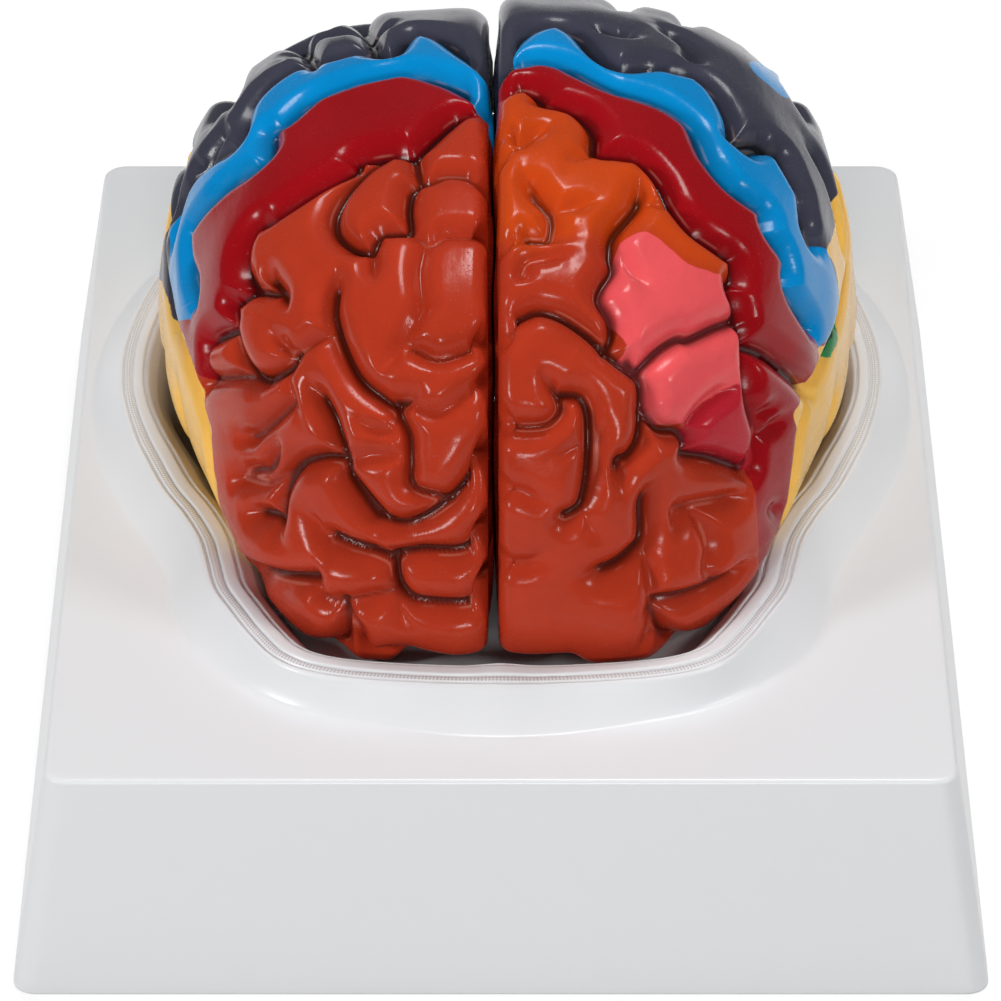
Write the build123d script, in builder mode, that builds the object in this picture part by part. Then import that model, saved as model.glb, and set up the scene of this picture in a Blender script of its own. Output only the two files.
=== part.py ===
# Life-size anatomy model of a human brain: eight moulded pieces of the brain, coloured by
# area, resting in the skull-shaped cavity of a hollow white display base.
# Millimetres. Origin at the middle of the base's bottom rim, +Z up, the brow faces -Y.
from build123d import *
import os
import numpy as np

os.makedirs("parts", exist_ok=True)

# Display base: a hollow box with drafted sides, open below
plate_width = 176.0
plate_length = 230.0
base_height = 46.3
side_flare = 7.3
base_wall = 3.0
corner_radius = 4.5
inner_corner_radius = 2.5
top_edge_break = 0.7

# Skull mound on the base and the rim of cut bone that crowns it
mound_height = 6.7
mound_lap = 0.5
groove_width = 0.8
groove_depth = 0.8
outer_table = 3.0
diploe_to_inner_table = 6.3
rim_width = 9.6
rim_back_narrowing = 0.22
rim_narrowing_y = 15.0
rim_slope_drop = 3.0
bowl_draw_in = 3.0
pit_ledge = 0.5
wall_lap = 1.0
middle_fossa_front = -49.0
middle_fossa_back = 20.0
sella_width = 18.0
sella_back = -22.0
posterior_fossa_front = 10.0
stem_well_width = 38.0
frontal_crest = 1.4
frontal_crest_width = 5.0
outline_count = 48

# Brain form: a superellipsoid for each half, wider behind than in front
brain_mid_x = -1.5
fissure_half_gap = 1.0
brain_mid_y = 5.7
brain_mid_z = base_height + 20.0
half_width = {"left": 70.8, "right": 65.4}
crown_height = {"left": 63.6, "right": 59.3}
front_reach = 86.0
back_reach = 84.7
underside_reach = 46.9
fullness = 2.47
back_widening = 0.185
widening_length = 80.0
keel_narrowing = 0.21
keel_top = brain_mid_z - 2.3
keel_depth = 34.0
medial_edge_radius = 4.0
sylvian_pole = (-0.09, 0.17)

# Levels of the hidden underside of the hemispheres
temporal_pole_y = -46.0
temporal_pole_rounding = 14.0
temporal_pole_out = (16.0, 32.0)
temporal_pole_length = 12.0
tentorium_y = (4.0, 20.0)
stem_roof_out = (14.0, 21.0)
orbital_level = base_height + 0.2
temporal_level = base_height - 27.3
tentorium_level = orbital_level
stem_roof_level = orbital_level + 5.5
floor_sharpness = 8

# Furrows
furrow_depth = 3.0
furrow_half_width = 5.2
furrow_sharpness = 1.6
furrow_step = 1.5
trace_step = 5.0
snap_share = 0.9
tip_sink = 1.2

# Facets along each section of an upper and of a lower piece
upper_count = 52
lower_count = 18

# Clearances between pieces
joint_gap = 0.35
seat_gap = 0.3

# Cerebellum and brainstem
cerebellum_width = 50.0
cerebellum_front_y = 16.2
cerebellum_back_y = 80.0
cerebellum_bottom_z = 0.2 * base_height
cerebellum_headroom = 0.5
cerebellum_fullness = 2.3
cerebellum_taper = 0.85
cerebellum_swings = [0.0, 18.0, 36.0, 54.0, 72.0, 84.0]
folium_depth = 1.4
folia_around = 12
stem_top = (-7.0, orbital_level + 1.5)
stem_foot = (6.5, cerebellum_bottom_z + 2.5)
stem_points = 9
stem_profile = [(6.0, 0.0), (7.5, 0.18), (9.0, 0.3), (13.5, 0.4), (14.5, 0.53), (13.3, 0.67), (10.5, 0.77),
                (10.5, 1.0)]

# Steel pins that locate the halves
pin_diameter = 3.0
pin_clearance = 0.1
midline_pin_length = 20.0
midline_pin_places = [(-38.0, brain_mid_z + 17.7), (44.0, brain_mid_z + 33.7)]

# Raised cut surface of the corpus callosum on each medial face
callosum_middle = (8.4, brain_mid_z - 12.3)
callosum_radius = 38.0
callosum_span = (155.0, 48.0)
callosum_points = 9
callosum_height = 7.0

# The picture's view: eye, tilt and focal length carry traced furrows onto the form
view_eye = np.array([0.0, -1056.2, brain_mid_z + 679.8])
view_tilt = np.radians(34.0)
view_focal = 6117.0
view_centre = (501.0, 500.5)
sight_reach = np.linspace(1050.0, 1420.0, 741)

side_sign = {"left": 1.0, "right": -1.0}
lower_shift = joint_gap * np.array([0.0, 0.6, -0.8])

# Half outlines in plan, from the middle of the front to the middle of the back
rim_half = [(0, -92.5), (20, -91.5), (35, -89), (44, -84), (49.5, -76), (54, -67), (57.5, -59),
            (59.3, -50), (61, -42), (64.5, -33), (69, -24), (73, -13), (75.8, -4), (78.5, 9),
            (79.5, 22), (78.8, 34), (76.5, 47), (72.5, 60), (64.5, 75), (50, 90), (28, 99), (0, 102)]
foot_half = [(0, -100.5), (12, -99.6), (26, -96), (40, -91), (51, -83), (60, -73), (65, -60),
             (67, -48), (71.5, -36), (78, -21), (83, -6), (85.5, 9), (86, 22), (85.2, 36), (82.5, 50),
             (77.5, 64), (69, 79), (54, 95), (30, 105), (0, 108.5)]

# Furrows of the brain's right half, traced in the picture
right_traced = [
    [(488, 61), (469, 48), (446, 32), (421, 27), (405, 30), (387, 48), (376, 41), (335, 51), (300, 61),
     (274, 77), (252, 99), (241, 118), (236, 140), (220, 150), (198, 169), (179, 204), (172, 230)],
    [(488, 96), (456, 77), (411, 65), (376, 70), (338, 80), (309, 93), (281, 120), (268, 128),
     (265, 150), (255, 163), (230, 179), (204, 207), (188, 233), (187, 268), (193, 293), (191, 319)],
    [(481, 105), (459, 107), (440, 121), (414, 144), (392, 144), (357, 150), (351, 159), (306, 188),
     (271, 214), (255, 223), (242, 246), (239, 271), (246, 287), (236, 297), (228, 306), (230, 325),
     (207, 338), (204, 354), (204, 383)],
    [(414, 145), (418, 166), (424, 174), (446, 167), (472, 169), (487, 179)],
    [(383, 148), (360, 163), (341, 185), (330, 207), (332, 226), (348, 239), (367, 242), (376, 226),
     (395, 223), (408, 220), (407, 198), (411, 179), (424, 172)],
    [(408, 220), (427, 236), (446, 228), (487, 230)],
    [(322, 244), (344, 242), (367, 242), (371, 265), (370, 287)],
    [(424, 239), (419, 265), (421, 297), (418, 309)],
    [(335, 260), (331, 281), (328, 306), (331, 324), (341, 353), (355, 378), (374, 394), (391, 404),
     (411, 397), (428, 382)],
    [(423, 305), (411, 327), (399, 346), (384, 365), (381, 380)],
    [(242, 287), (271, 289), (265, 277), (277, 293), (287, 316)],
    [(268, 325), (277, 341), (290, 351), (311, 338), (331, 331)],
    [(228, 303), (230, 335), (239, 364), (255, 379), (281, 367), (290, 354)],
    [(205, 379), (236, 377), (258, 380)],
    [(285, 363), (284, 385), (292, 404), (304, 421)],
    [(304, 373), (314, 394), (326, 416), (333, 436), (341, 460), (343, 475), (357, 494), (377, 518)],
    [(382, 341), (401, 345), (416, 348), (440, 356), (487, 339)],
    [(394, 402), (396, 414), (406, 436), (408, 465), (408, 484), (418, 494), (450, 501)],
    [(416, 409), (442, 411), (466, 395), (487, 382)],
    [(350, 416), (370, 428), (389, 431), (394, 421)],
    [(345, 460), (370, 455), (396, 455)],
    [(343, 479), (350, 491), (370, 518), (377, 521), (408, 527), (450, 501), (487, 455)],
    [(229, 438), (248, 437), (263, 424), (285, 403)],
    [(231, 474), (248, 472), (261, 470), (273, 450), (276, 432)],
    [(246, 507), (273, 514), (280, 518), (280, 489), (292, 467), (314, 459), (336, 459)],
    [(297, 506), (314, 521), (328, 540), (331, 545)],
    [(282, 525), (299, 542)],
    [(331, 537), (350, 545), (370, 551), (389, 559), (394, 557), (418, 554), (464, 553), (487, 533)],
    [(394, 559), (394, 569), (401, 588), (423, 602), (476, 602), (488, 581)],
    [(326, 557), (324, 571), (336, 586), (355, 588), (401, 588)],
    [(285, 576), (307, 574), (324, 571)],
    [(350, 588), (355, 605), (355, 625), (345, 642)],
    [(355, 596), (367, 613), (370, 627), (384, 639), (411, 644), (430, 653)],
    [(401, 596), (406, 610), (430, 622)],
    [(285, 60), (310, 40), (345, 30), (380, 24)],
    [(195, 165), (215, 140), (225, 120)],
]

# Furrows of the brain's left half, traced in the picture
left_traced = [
    [(499, 62), (502, 46), (518, 28), (541, 19), (564, 19), (582, 28), (595, 43), (608, 54), (623, 60),
     (654, 59), (674, 63), (697, 69), (717, 84), (730, 102), (738, 120), (740, 135), (750, 145),
     (768, 143), (786, 153), (796, 174), (804, 194), (807, 225), (809, 235), (826, 250)],
    [(505, 58), (536, 52), (564, 57), (587, 69), (613, 82), (638, 89), (659, 96), (679, 107),
     (697, 122), (707, 143), (715, 158), (735, 184), (758, 202), (768, 212), (771, 230), (784, 250),
     (791, 270), (790, 286), (801, 306), (814, 327), (818, 347)],
    [(505, 83), (526, 79), (541, 87), (544, 94), (564, 98), (582, 105), (595, 120), (597, 143),
     (618, 147), (643, 153), (664, 174), (674, 194), (684, 209), (699, 227), (725, 247), (738, 258),
     (740, 276), (735, 286), (743, 309), (745, 321), (750, 339), (753, 397), (761, 428), (755, 463)],
    [(505, 126), (518, 138), (539, 125), (556, 115)],
    [(500, 153), (503, 145), (521, 139)],
    [(523, 161), (534, 184), (551, 204), (551, 224), (546, 230), (528, 230)],
    [(551, 204), (569, 201), (605, 195)],
    [(597, 143), (577, 153), (567, 163)],
    [(643, 168), (642, 194), (618, 224), (614, 245), (616, 263), (605, 281), (602, 296), (613, 316),
     (615, 337), (608, 349)],
    [(643, 194), (664, 199), (681, 201)],
    [(502, 242), (508, 235), (549, 231), (582, 232)],
    [(521, 270), (531, 255), (564, 251), (572, 260)],
    [(502, 332), (508, 321), (526, 311), (542, 307), (564, 314), (590, 332), (608, 349), (623, 362),
     (638, 372)],
    [(623, 245), (633, 268), (653, 291)],
    [(643, 370), (664, 349), (684, 337), (697, 337), (722, 326), (743, 319)],
    [(536, 361), (546, 376), (559, 397), (561, 412), (549, 425), (526, 428), (502, 425)],
    [(564, 394), (582, 396), (590, 410), (592, 433), (591, 473), (585, 504), (577, 514), (567, 519)],
    [(605, 402), (602, 435), (600, 473), (592, 499)],
    [(633, 361), (646, 384), (647, 415), (643, 443), (633, 458), (623, 463), (623, 479), (625, 499)],
    [(502, 491), (523, 494), (544, 504), (561, 504)],
    [(551, 458), (582, 445)],
    [(561, 522), (582, 514), (592, 530), (602, 542)],
    [(502, 565), (531, 563), (549, 545)],
    [(572, 574), (608, 568), (633, 553), (646, 537), (648, 504), (656, 484), (664, 476)],
    [(643, 545), (646, 570), (643, 593), (638, 621)],
    [(648, 412), (664, 430), (684, 433), (692, 443), (692, 456), (720, 461), (750, 471)],
    [(692, 422), (710, 402), (730, 389), (743, 389)],
    [(679, 519), (692, 512), (702, 524), (704, 540), (697, 560), (702, 568)],
    [(679, 512), (710, 504), (735, 496), (750, 489)],
    [(648, 588), (679, 581), (710, 568), (725, 558), (740, 545)],
    [(643, 596), (653, 621), (671, 632)],
    [(753, 346), (773, 354), (796, 374), (817, 397)],
    [(761, 415), (784, 405)],
    [(761, 438), (791, 415)],
    [(755, 507), (778, 507)],
    [(640, 25), (620, 30), (585, 15)],
    [(690, 60), (695, 45), (660, 20)],
    [(737, 135), (770, 140), (800, 190), (812, 225)],
]

# Furrows that the picture hides, drawn in side view (y, z) and in back view (distance out, z),
# with the form's middle at drawn_mid_z
drawn_mid_z = 66.3
side_drawn = [
    [(-30, 42), (-10, 50), (15, 57), (40, 66), (62, 78), (66, 90)],
    [(-25, 31), (0, 37), (25, 44), (50, 53), (72, 62)],
    [(14, 84), (22, 95), (26, 106)],
    [(24, 80), (32, 92), (44, 91), (50, 80)],
    [(34, 104), (48, 104), (60, 97), (72, 97)],
    [(56, 88), (66, 90), (74, 84)],
    [(-12, 31), (-8, 44), (-14, 58), (-8, 68)],
    [(12, 38), (16, 50), (10, 64)],
    [(32, 45), (28, 57), (34, 70)],
    [(52, 54), (54, 66)],
    [(68, 66), (74, 76), (80, 80)],
    [(78, 52), (82, 64), (80, 74)],
]
back_drawn = [
    [(3, 98), (16, 96), (28, 92), (38, 96)],
    [(6, 80), (20, 78), (34, 83), (46, 78)],
    [(4, 66), (14, 64), (26, 68), (40, 62), (52, 66)],
    [(16, 52), (30, 55), (44, 51)],
    [(8, 112), (18, 108), (30, 111), (42, 104)],
    [(22, 122), (24, 110)],
    [(34, 119), (36, 108)],
    [(50, 108), (47, 97), (54, 88)],
]


def smooth_ramp(value, start, end):
    """0 before start, 1 after end, an eased curve between."""
    t = np.clip((value - start) / (end - start), 0.0, 1.0)
    return t * t * (3.0 - 2.0 * t)


def underside_level(out, y):
    """Height at which a hemisphere's underside flattens, by distance out and by y."""
    pole_y = temporal_pole_y + temporal_pole_rounding * (1.0 - smooth_ramp(out, *temporal_pole_out))
    rising = smooth_ramp(y, pole_y, pole_y + temporal_pole_length)
    along = orbital_level + (temporal_level - orbital_level) * rising
    along = along + (tentorium_level - temporal_level) * smooth_ramp(y, *tentorium_y)
    return stem_roof_level + (along - stem_roof_level) * smooth_ramp(out, *stem_roof_out)


def form_value(side, out, dy, dz):
    """Superellipsoid level: 1 on the form, less inside it. out is untapered."""
    reach_y = np.where(dy < 0, front_reach, back_reach)
    reach_z = np.where(dz > 0, crown_height[side], underside_reach)
    return ((np.abs(out) / half_width[side]) ** fullness + (np.abs(dy) / reach_y) ** fullness
            + (np.abs(dz) / reach_z) ** fullness)


def finish_form(side, out, dy, dz):
    """Widen towards the back, draw in the keel and flatten the underside."""
    y = brain_mid_y + dy
    out = out * (1.0 + back_widening * dy / widening_length)
    depth = np.maximum(-dz, 0.0)
    floor_depth = brain_mid_z - underside_level(out, y)
    limited = depth / (1.0 + (depth / floor_depth) ** floor_sharpness) ** (1.0 / floor_sharpness)
    z = brain_mid_z + np.where(dz < 0, -limited, dz)
    out = out * (1.0 - keel_narrowing * smooth_ramp(-z, -keel_top, keel_depth - keel_top))
    x = brain_mid_x + side_sign[side] * (fissure_half_gap + out)
    return np.stack([x, y, z], axis=-1)


def hemisphere_point(side, swing, turn):
    """Point of the form: swing 0 at the medial face to 90 at the Sylvian pole; turn 0 at the
    brow, 90 at the crown and 180 at the back, both in degrees."""
    swing, turn = np.broadcast_arrays(np.radians(swing), np.radians(turn))
    out = np.sin(swing)
    dy = np.sin(swing) * sylvian_pole[0] - np.cos(swing) * np.cos(turn)
    dz = np.sin(swing) * sylvian_pole[1] + np.cos(swing) * np.sin(turn)
    size = form_value(side, out, dy, dz) ** (-1.0 / fullness)
    out, dy, dz = out * size, dy * size, dz * size
    edge = np.clip(medial_edge_radius - out, 0.0, medial_edge_radius)
    inset = medial_edge_radius - np.sqrt(medial_edge_radius ** 2 - edge ** 2)
    shrink = 1.0 - inset / np.hypot(dy, dz)
    return finish_form(side, out, dy * shrink, dz * shrink)


def traced_on_form(side, pixels):
    """Carry a line traced in the picture along the lines of sight onto the form."""
    pixels = resample(np.array(pixels, float), trace_step)
    across = pixels[:, 0] - view_centre[0]
    above = view_centre[1] - pixels[:, 1]
    forward = np.array([0.0, np.cos(view_tilt), -np.sin(view_tilt)])
    upward = np.array([0.0, np.sin(view_tilt), np.cos(view_tilt)])
    sight = view_focal * forward + across[:, None] * [1.0, 0.0, 0.0] + above[:, None] * upward
    sight /= np.linalg.norm(sight, axis=1)[:, None]
    points = view_eye + sight_reach[None, :, None] * sight[:, None, :]
    out = side_sign[side] * (points[..., 0] - brain_mid_x) - fissure_half_gap
    dy = points[..., 1] - brain_mid_y
    dz = points[..., 2] - brain_mid_z
    out = np.maximum(out, 0.0) / (1.0 + back_widening * dy / widening_length)
    level = form_value(side, out, dy, dz)
    hit = level < 1.0
    first = np.where(hit.any(axis=1), np.argmax(hit, axis=1), np.argmin(level, axis=1))
    rows = np.arange(len(pixels))
    return points[rows, first]


def drawn_on_form(side, points, view):
    """Carry a line drawn in side or back view straight onto the form."""
    points = resample(np.array(points, float), furrow_step)
    dz = points[:, 1] - drawn_mid_z
    reach_z = np.where(dz > 0, crown_height[side], underside_reach)
    if view == "side":
        dy = points[:, 0] - brain_mid_y
        reach_y = np.where(dy < 0, front_reach, back_reach)
        rest = 1.0 - (np.abs(dy) / reach_y) ** fullness - (np.abs(dz) / reach_z) ** fullness
        out = half_width[side] * np.maximum(rest, 0.0) ** (1.0 / fullness)
    else:
        out = points[:, 0]
        rest = 1.0 - (out / half_width[side]) ** fullness - (np.abs(dz) / reach_z) ** fullness
        dy = back_reach * np.maximum(rest, 0.0) ** (1.0 / fullness)
    return finish_form(side, out, dy, dz)


def resample(points, step):
    """Points spaced by about one step along a polyline."""
    lengths = np.concatenate([[0.0], np.cumsum(np.linalg.norm(np.diff(points, axis=0), axis=1))])
    places = np.linspace(0.0, lengths[-1], max(2, int(lengths[-1] / step) + 1))
    return np.stack([np.interp(places, lengths, points[:, k]) for k in range(points.shape[1])], axis=1)


def cut_turns(swing):
    """Turns of the front and back edge of the cut between upper and lower piece, at a swing."""
    front = np.interp(swing, [0, 12, 20, 29, 45, 56, 62, 70, 80, 90],
                      [-70, -62, -50, -41, -34, -22, -8, 0, 4, 4])
    back = np.interp(swing, [0, 40, 70, 90], [159, 163, 172, 176])
    return front, back


def all_furrows(side):
    """Every furrow of one hemisphere as a cloud of points on its form."""
    traced = right_traced if side == "right" else left_traced
    lines = [traced_on_form(side, line) for line in traced]
    lines += [drawn_on_form(side, line, "side") for line in side_drawn]
    lines += [drawn_on_form(side, line, "back") for line in back_drawn]
    swing = np.linspace(0.0, 90.0, 120)
    lines += [hemisphere_point(side, swing, turn) for turn in cut_turns(swing)]
    return np.concatenate(lines)


def furrowed_rings(side, turn_lists, furrows):
    """Sections of a piece: the form's points, each furrow drawn through its nearest points and
    sunk there, with how deep each point is sunk."""
    points = np.stack([hemisphere_point(side, swing, turns) for swing, turns in zip(swings, turn_lists)])
    offsets = furrows[:, None, :] - points.reshape(1, -1, 3)
    distances = np.linalg.norm(offsets, axis=2)
    owner = np.argmin(distances, axis=1)
    closest = np.argmin(distances, axis=0)
    vertices = np.arange(distances.shape[1])
    drawn = (owner[closest] == vertices).reshape(points.shape[:2])
    drawn[:, [0, 1, -2, -1]] = False
    share = snap_share * drawn[..., None]
    shift = offsets[closest, vertices].reshape(points.shape) * share
    shift[0, :, 0] = 0.0
    gap = distances[closest, vertices].reshape(points.shape[:2]) * (1.0 - share[..., 0])
    points = points + shift
    sink = furrow_depth * (1.0 - np.clip(gap / furrow_half_width, 0.0, 1.0)) ** furrow_sharpness
    out = side_sign[side] * (points[..., 0] - brain_mid_x) - fissure_half_gap
    slope = np.stack([side_sign[side] * out / half_width[side] ** 2,
                      (points[..., 1] - brain_mid_y) / back_reach ** 2,
                      (points[..., 2] - brain_mid_z) / crown_height[side] ** 2], axis=2)
    slope /= np.linalg.norm(slope, axis=2)[..., None]
    return points - slope * sink[..., None], sink


def faceted_solid(rings, sink, tip):
    """Closed solid through like rings of points, a flat face on the first and a tip at the last.
    Each cell is folded along the diagonal that lies deeper, so that furrows stay unbroken."""
    faces = [Face(Wire.make_polygon([Vector(*p) for p in rings[0]], close=True))]
    count = len(rings[0])
    for j in range(len(rings) - 1):
        near, far = rings[j], rings[j + 1]
        for i in range(count):
            k = (i + 1) % count
            rising = sink[j][i] + sink[j + 1][k] >= sink[j][k] + sink[j + 1][i]
            if rising or k == 0:
                faces.append(triangle(near[i], near[k], far[k]))
                faces.append(triangle(near[i], far[k], far[i]))
            else:
                faces.append(triangle(near[i], near[k], far[i]))
                faces.append(triangle(near[k], far[k], far[i]))
    for i in range(count):
        faces.append(triangle(rings[-1][i], rings[-1][(i + 1) % count], tip))
    return Solid(Shell(faces))


def triangle(a, b, c):
    """One flat facet."""
    return Face(Wire.make_polygon([Vector(*a), Vector(*b), Vector(*c)], close=True))


# Sections of the four big pieces
swings = np.concatenate([[0.0, 1.0, 2.8], np.linspace(5.8, 86.0, 20)])
sides = ["left", "right"]
upper_rings = {}
lower_rings = {}
upper_sink = {}
lower_sink = {}
sylvian_tip = {}
for side in sides:
    furrows = all_furrows(side)
    edges = [cut_turns(swing) for swing in swings]
    over = [np.linspace(front, back, upper_count) for front, back in edges]
    under = [np.linspace(front, back - 360.0, lower_count) for front, back in edges]
    upper_rings[side], upper_sink[side] = furrowed_rings(side, over, furrows)
    lower_rings[side], lower_sink[side] = furrowed_rings(side, under, furrows)
    lower_rings[side] = lower_rings[side] + lower_shift
    sylvian_tip[side] = hemisphere_point(side, 90.0, 90.0)
    sylvian_tip[side] = sylvian_tip[side] - side_sign[side] * np.array([tip_sink, 0.0, 0.0])

# Levels of the cavity follow the pieces that rest in it
orbital_floor = min(ring[:, 2].min() for side in sides for ring in upper_rings[side]) - seat_gap
temporal_floor = min(ring[:, 2].min() for side in sides for ring in lower_rings[side]) - seat_gap
posterior_floor = cerebellum_bottom_z - seat_gap
stem_axis = np.array(stem_top) - np.array(stem_foot)
stem_length = float(np.linalg.norm(stem_axis))


def whole_loop(half):
    """Evenly spaced points of a smooth closed curve through a half outline and its mirror image."""
    half = np.array(half, float)
    knots = np.concatenate([half, half[-2:0:-1] * [-1.0, 1.0]])
    before, after, next_after = (np.roll(knots, k, axis=0) for k in (1, -1, -2))
    t = np.linspace(0.0, 1.0, 12, endpoint=False)[:, None, None]
    curve = (knots + (after - before) * t / 2 + (before - 2.5 * knots + 2 * after - next_after / 2) * t ** 2
             + (1.5 * (knots - after) + (next_after - before) / 2) * t ** 3)
    curve = curve.transpose(1, 0, 2).reshape(-1, 2)
    closed = np.concatenate([curve, curve[:1]])
    lengths = np.concatenate([[0.0], np.cumsum(np.linalg.norm(np.diff(closed, axis=0), axis=1))])
    places = np.linspace(0.0, lengths[-1], outline_count, endpoint=False)
    return np.stack([np.interp(places, lengths, closed[:, k]) for k in range(2)], axis=1)


def rim_line(inset):
    """Points of the skull rim's outline drawn in by an inset, narrower round the back."""
    whole = whole_loop(rim_half)
    ahead = np.roll(whole, -1, axis=0) - np.roll(whole, 1, axis=0)
    inward = np.stack([-ahead[:, 1], ahead[:, 0]], axis=1)
    inward /= np.linalg.norm(inward, axis=1)[:, None]
    share = 1.0 - rim_back_narrowing * smooth_ramp(whole[:, 1], -rim_narrowing_y, rim_narrowing_y)
    crest = frontal_crest * np.exp(-(whole[:, 0] / frontal_crest_width) ** 2) * (whole[:, 1] < 0)
    crest = crest * inset / rim_width
    return whole + inward * (inset * share + crest)[:, None]


def outline_sketch(points, height):
    """A closed outline through points, as a face at a height."""
    with BuildSketch(Plane.XY.offset(height)) as outline:
        with BuildLine():
            Polyline(*[(float(x), float(y)) for x, y in points], close=True)
        make_face()
    return outline.sketch


def rim_sketch(inset, height):
    """The rim's outline at an inset, as a face at a height."""
    return outline_sketch(rim_line(inset), height)


def middle_fossae(wall):
    """Plan of the pits that the temporal lobes rest in, with a wall around it or none."""
    with BuildSketch(Plane.XY.offset(orbital_floor)) as pits:
        add(rim_sketch(pit_inset - wall, orbital_floor))
        with Locations((0, (middle_fossa_front + middle_fossa_back) / 2)):
            Rectangle(plate_width, middle_fossa_back - middle_fossa_front + 2 * wall, mode=Mode.INTERSECT)
        with Locations((brain_mid_x, (middle_fossa_front + sella_back) / 2)):
            Rectangle(sella_width - 2 * wall, sella_back - middle_fossa_front + 2 * wall, mode=Mode.SUBTRACT)
    return pits.sketch


def posterior_fossa(wall):
    """Plan of the pit that the cerebellum and the brainstem rest in, with a wall around it or none."""
    with BuildSketch(Plane.XY.offset(orbital_floor)) as pit:
        add(rim_sketch(pit_inset - wall, orbital_floor))
        with Locations((0, (posterior_fossa_front + plate_length) / 2)):
            Rectangle(plate_width, plate_length - posterior_fossa_front + 2 * wall, mode=Mode.INTERSECT)
        with Locations((brain_mid_x, (sella_back + posterior_fossa_front) / 2)):
            Rectangle(stem_well_width + 2 * wall,
                      posterior_fossa_front - sella_back + wall_lap + 2 * wall)
    return pit.sketch


# Base
rim_top = base_height + mound_height
lip_level = rim_top - rim_slope_drop
bowl_inset = rim_width + bowl_draw_in
pit_inset = bowl_inset + pit_ledge
with BuildPart() as box:
    edge_grow = side_flare * top_edge_break / base_height
    for height, grow in ((0.0, side_flare), (base_height - top_edge_break, edge_grow),
                         (base_height, -top_edge_break)):
        with BuildSketch(Plane.XY.offset(height)):
            RectangleRounded(plate_width + 2 * grow, plate_length + 2 * grow, corner_radius)
    loft(ruled=True)

with BuildPart() as base:
    add(box.part)
    roof_grow = side_flare * base_wall / base_height
    for height, grow in ((0.0, side_flare), (base_height - base_wall, roof_grow)):
        with BuildSketch(Plane.XY.offset(height)):
            RectangleRounded(plate_width + 2 * (grow - base_wall), plate_length + 2 * (grow - base_wall),
                             inner_corner_radius)
    loft(mode=Mode.SUBTRACT)
    mound = loft([outline_sketch(whole_loop(foot_half), base_height - mound_lap),
                  rim_sketch(0.0, rim_top)], ruled=True, mode=Mode.PRIVATE)
    hollow = loft([rim_sketch(-base_wall, base_height - base_wall - wall_lap),
                   rim_sketch(base_wall, rim_top - base_wall)], ruled=True, mode=Mode.PRIVATE)
    add(mound)
    add(hollow, mode=Mode.SUBTRACT)
    neck = loft([rim_sketch(rim_width - base_wall - wall_lap, rim_top - base_wall / 2),
                 rim_sketch(bowl_inset - base_wall, orbital_floor - base_wall)], ruled=True,
                mode=Mode.PRIVATE)
    add(neck)
    for fossa, floor in ((middle_fossae(base_wall), temporal_floor),
                         (posterior_fossa(base_wall), posterior_floor)):
        add(extrude(fossa, amount=floor - base_wall - orbital_floor, mode=Mode.PRIVATE))
    lip = loft([rim_sketch(diploe_to_inner_table, rim_top), rim_sketch(rim_width, lip_level)], ruled=True,
               mode=Mode.PRIVATE)
    bowl = loft([rim_sketch(rim_width, lip_level), rim_sketch(bowl_inset, orbital_floor)], ruled=True,
                mode=Mode.PRIVATE)
    add(lip, mode=Mode.SUBTRACT)
    add(bowl, mode=Mode.SUBTRACT)
    for inset in (groove_width, outer_table, diploe_to_inner_table):
        ring = extrude(rim_sketch(inset - groove_width / 2, rim_top), amount=-groove_depth, mode=Mode.PRIVATE)
        core = extrude(rim_sketch(inset + groove_width / 2, rim_top), amount=-groove_depth, mode=Mode.PRIVATE)
        add(ring - core, mode=Mode.SUBTRACT)
    for fossa, floor in ((middle_fossae(0.0), temporal_floor), (posterior_fossa(0.0), posterior_floor)):
        add(extrude(fossa, amount=floor - orbital_floor, mode=Mode.PRIVATE), mode=Mode.SUBTRACT)
base.part.label = "base"
export_step(base.part, "parts/base.step")


# Cerebellum halves
def cerebellum_rings(side):
    """Sections of half a cerebellum, its folia as ripples that run from side to side."""
    mid_y = (cerebellum_front_y + cerebellum_back_y) / 2
    reach_y = (cerebellum_back_y - cerebellum_front_y) / 2
    top = tentorium_level - cerebellum_headroom
    mid_z = (top + cerebellum_bottom_z) / 2
    reach_z = (top - cerebellum_bottom_z) / 2
    turn = np.linspace(0.0, 2 * np.pi, 2 * folia_around, endpoint=False)
    rings = []
    round_size = np.abs(np.cos(turn)) ** cerebellum_fullness + np.abs(np.sin(turn)) ** cerebellum_fullness
    round_size = round_size ** (-1 / cerebellum_fullness)
    ripple = folium_depth * (np.arange(len(turn)) % 2)
    for swing in np.radians(cerebellum_swings):
        size = round_size * np.cos(swing) ** cerebellum_taper
        y = mid_y + (reach_y * size - ripple) * np.cos(turn)
        z = mid_z + (reach_z * size - ripple) * np.sin(turn)
        x = brain_mid_x + side_sign[side] * (joint_gap / 2 + cerebellum_width * np.sin(swing))
        rings.append(np.stack([np.full_like(y, x), y, z], axis=1))
    tip = np.array([brain_mid_x + side_sign[side] * (joint_gap / 2 + cerebellum_width), mid_y, mid_z])
    return rings, tip


for side in sides:
    rings, tip = cerebellum_rings(side)
    with BuildPart() as half_cerebellum:
        add(faceted_solid(rings, np.zeros((len(rings), len(rings[0]))), tip))
    half_cerebellum.part.label = side + "_cerebellum"
    export_step(half_cerebellum.part, "parts/" + side + "_cerebellum.step")

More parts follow.
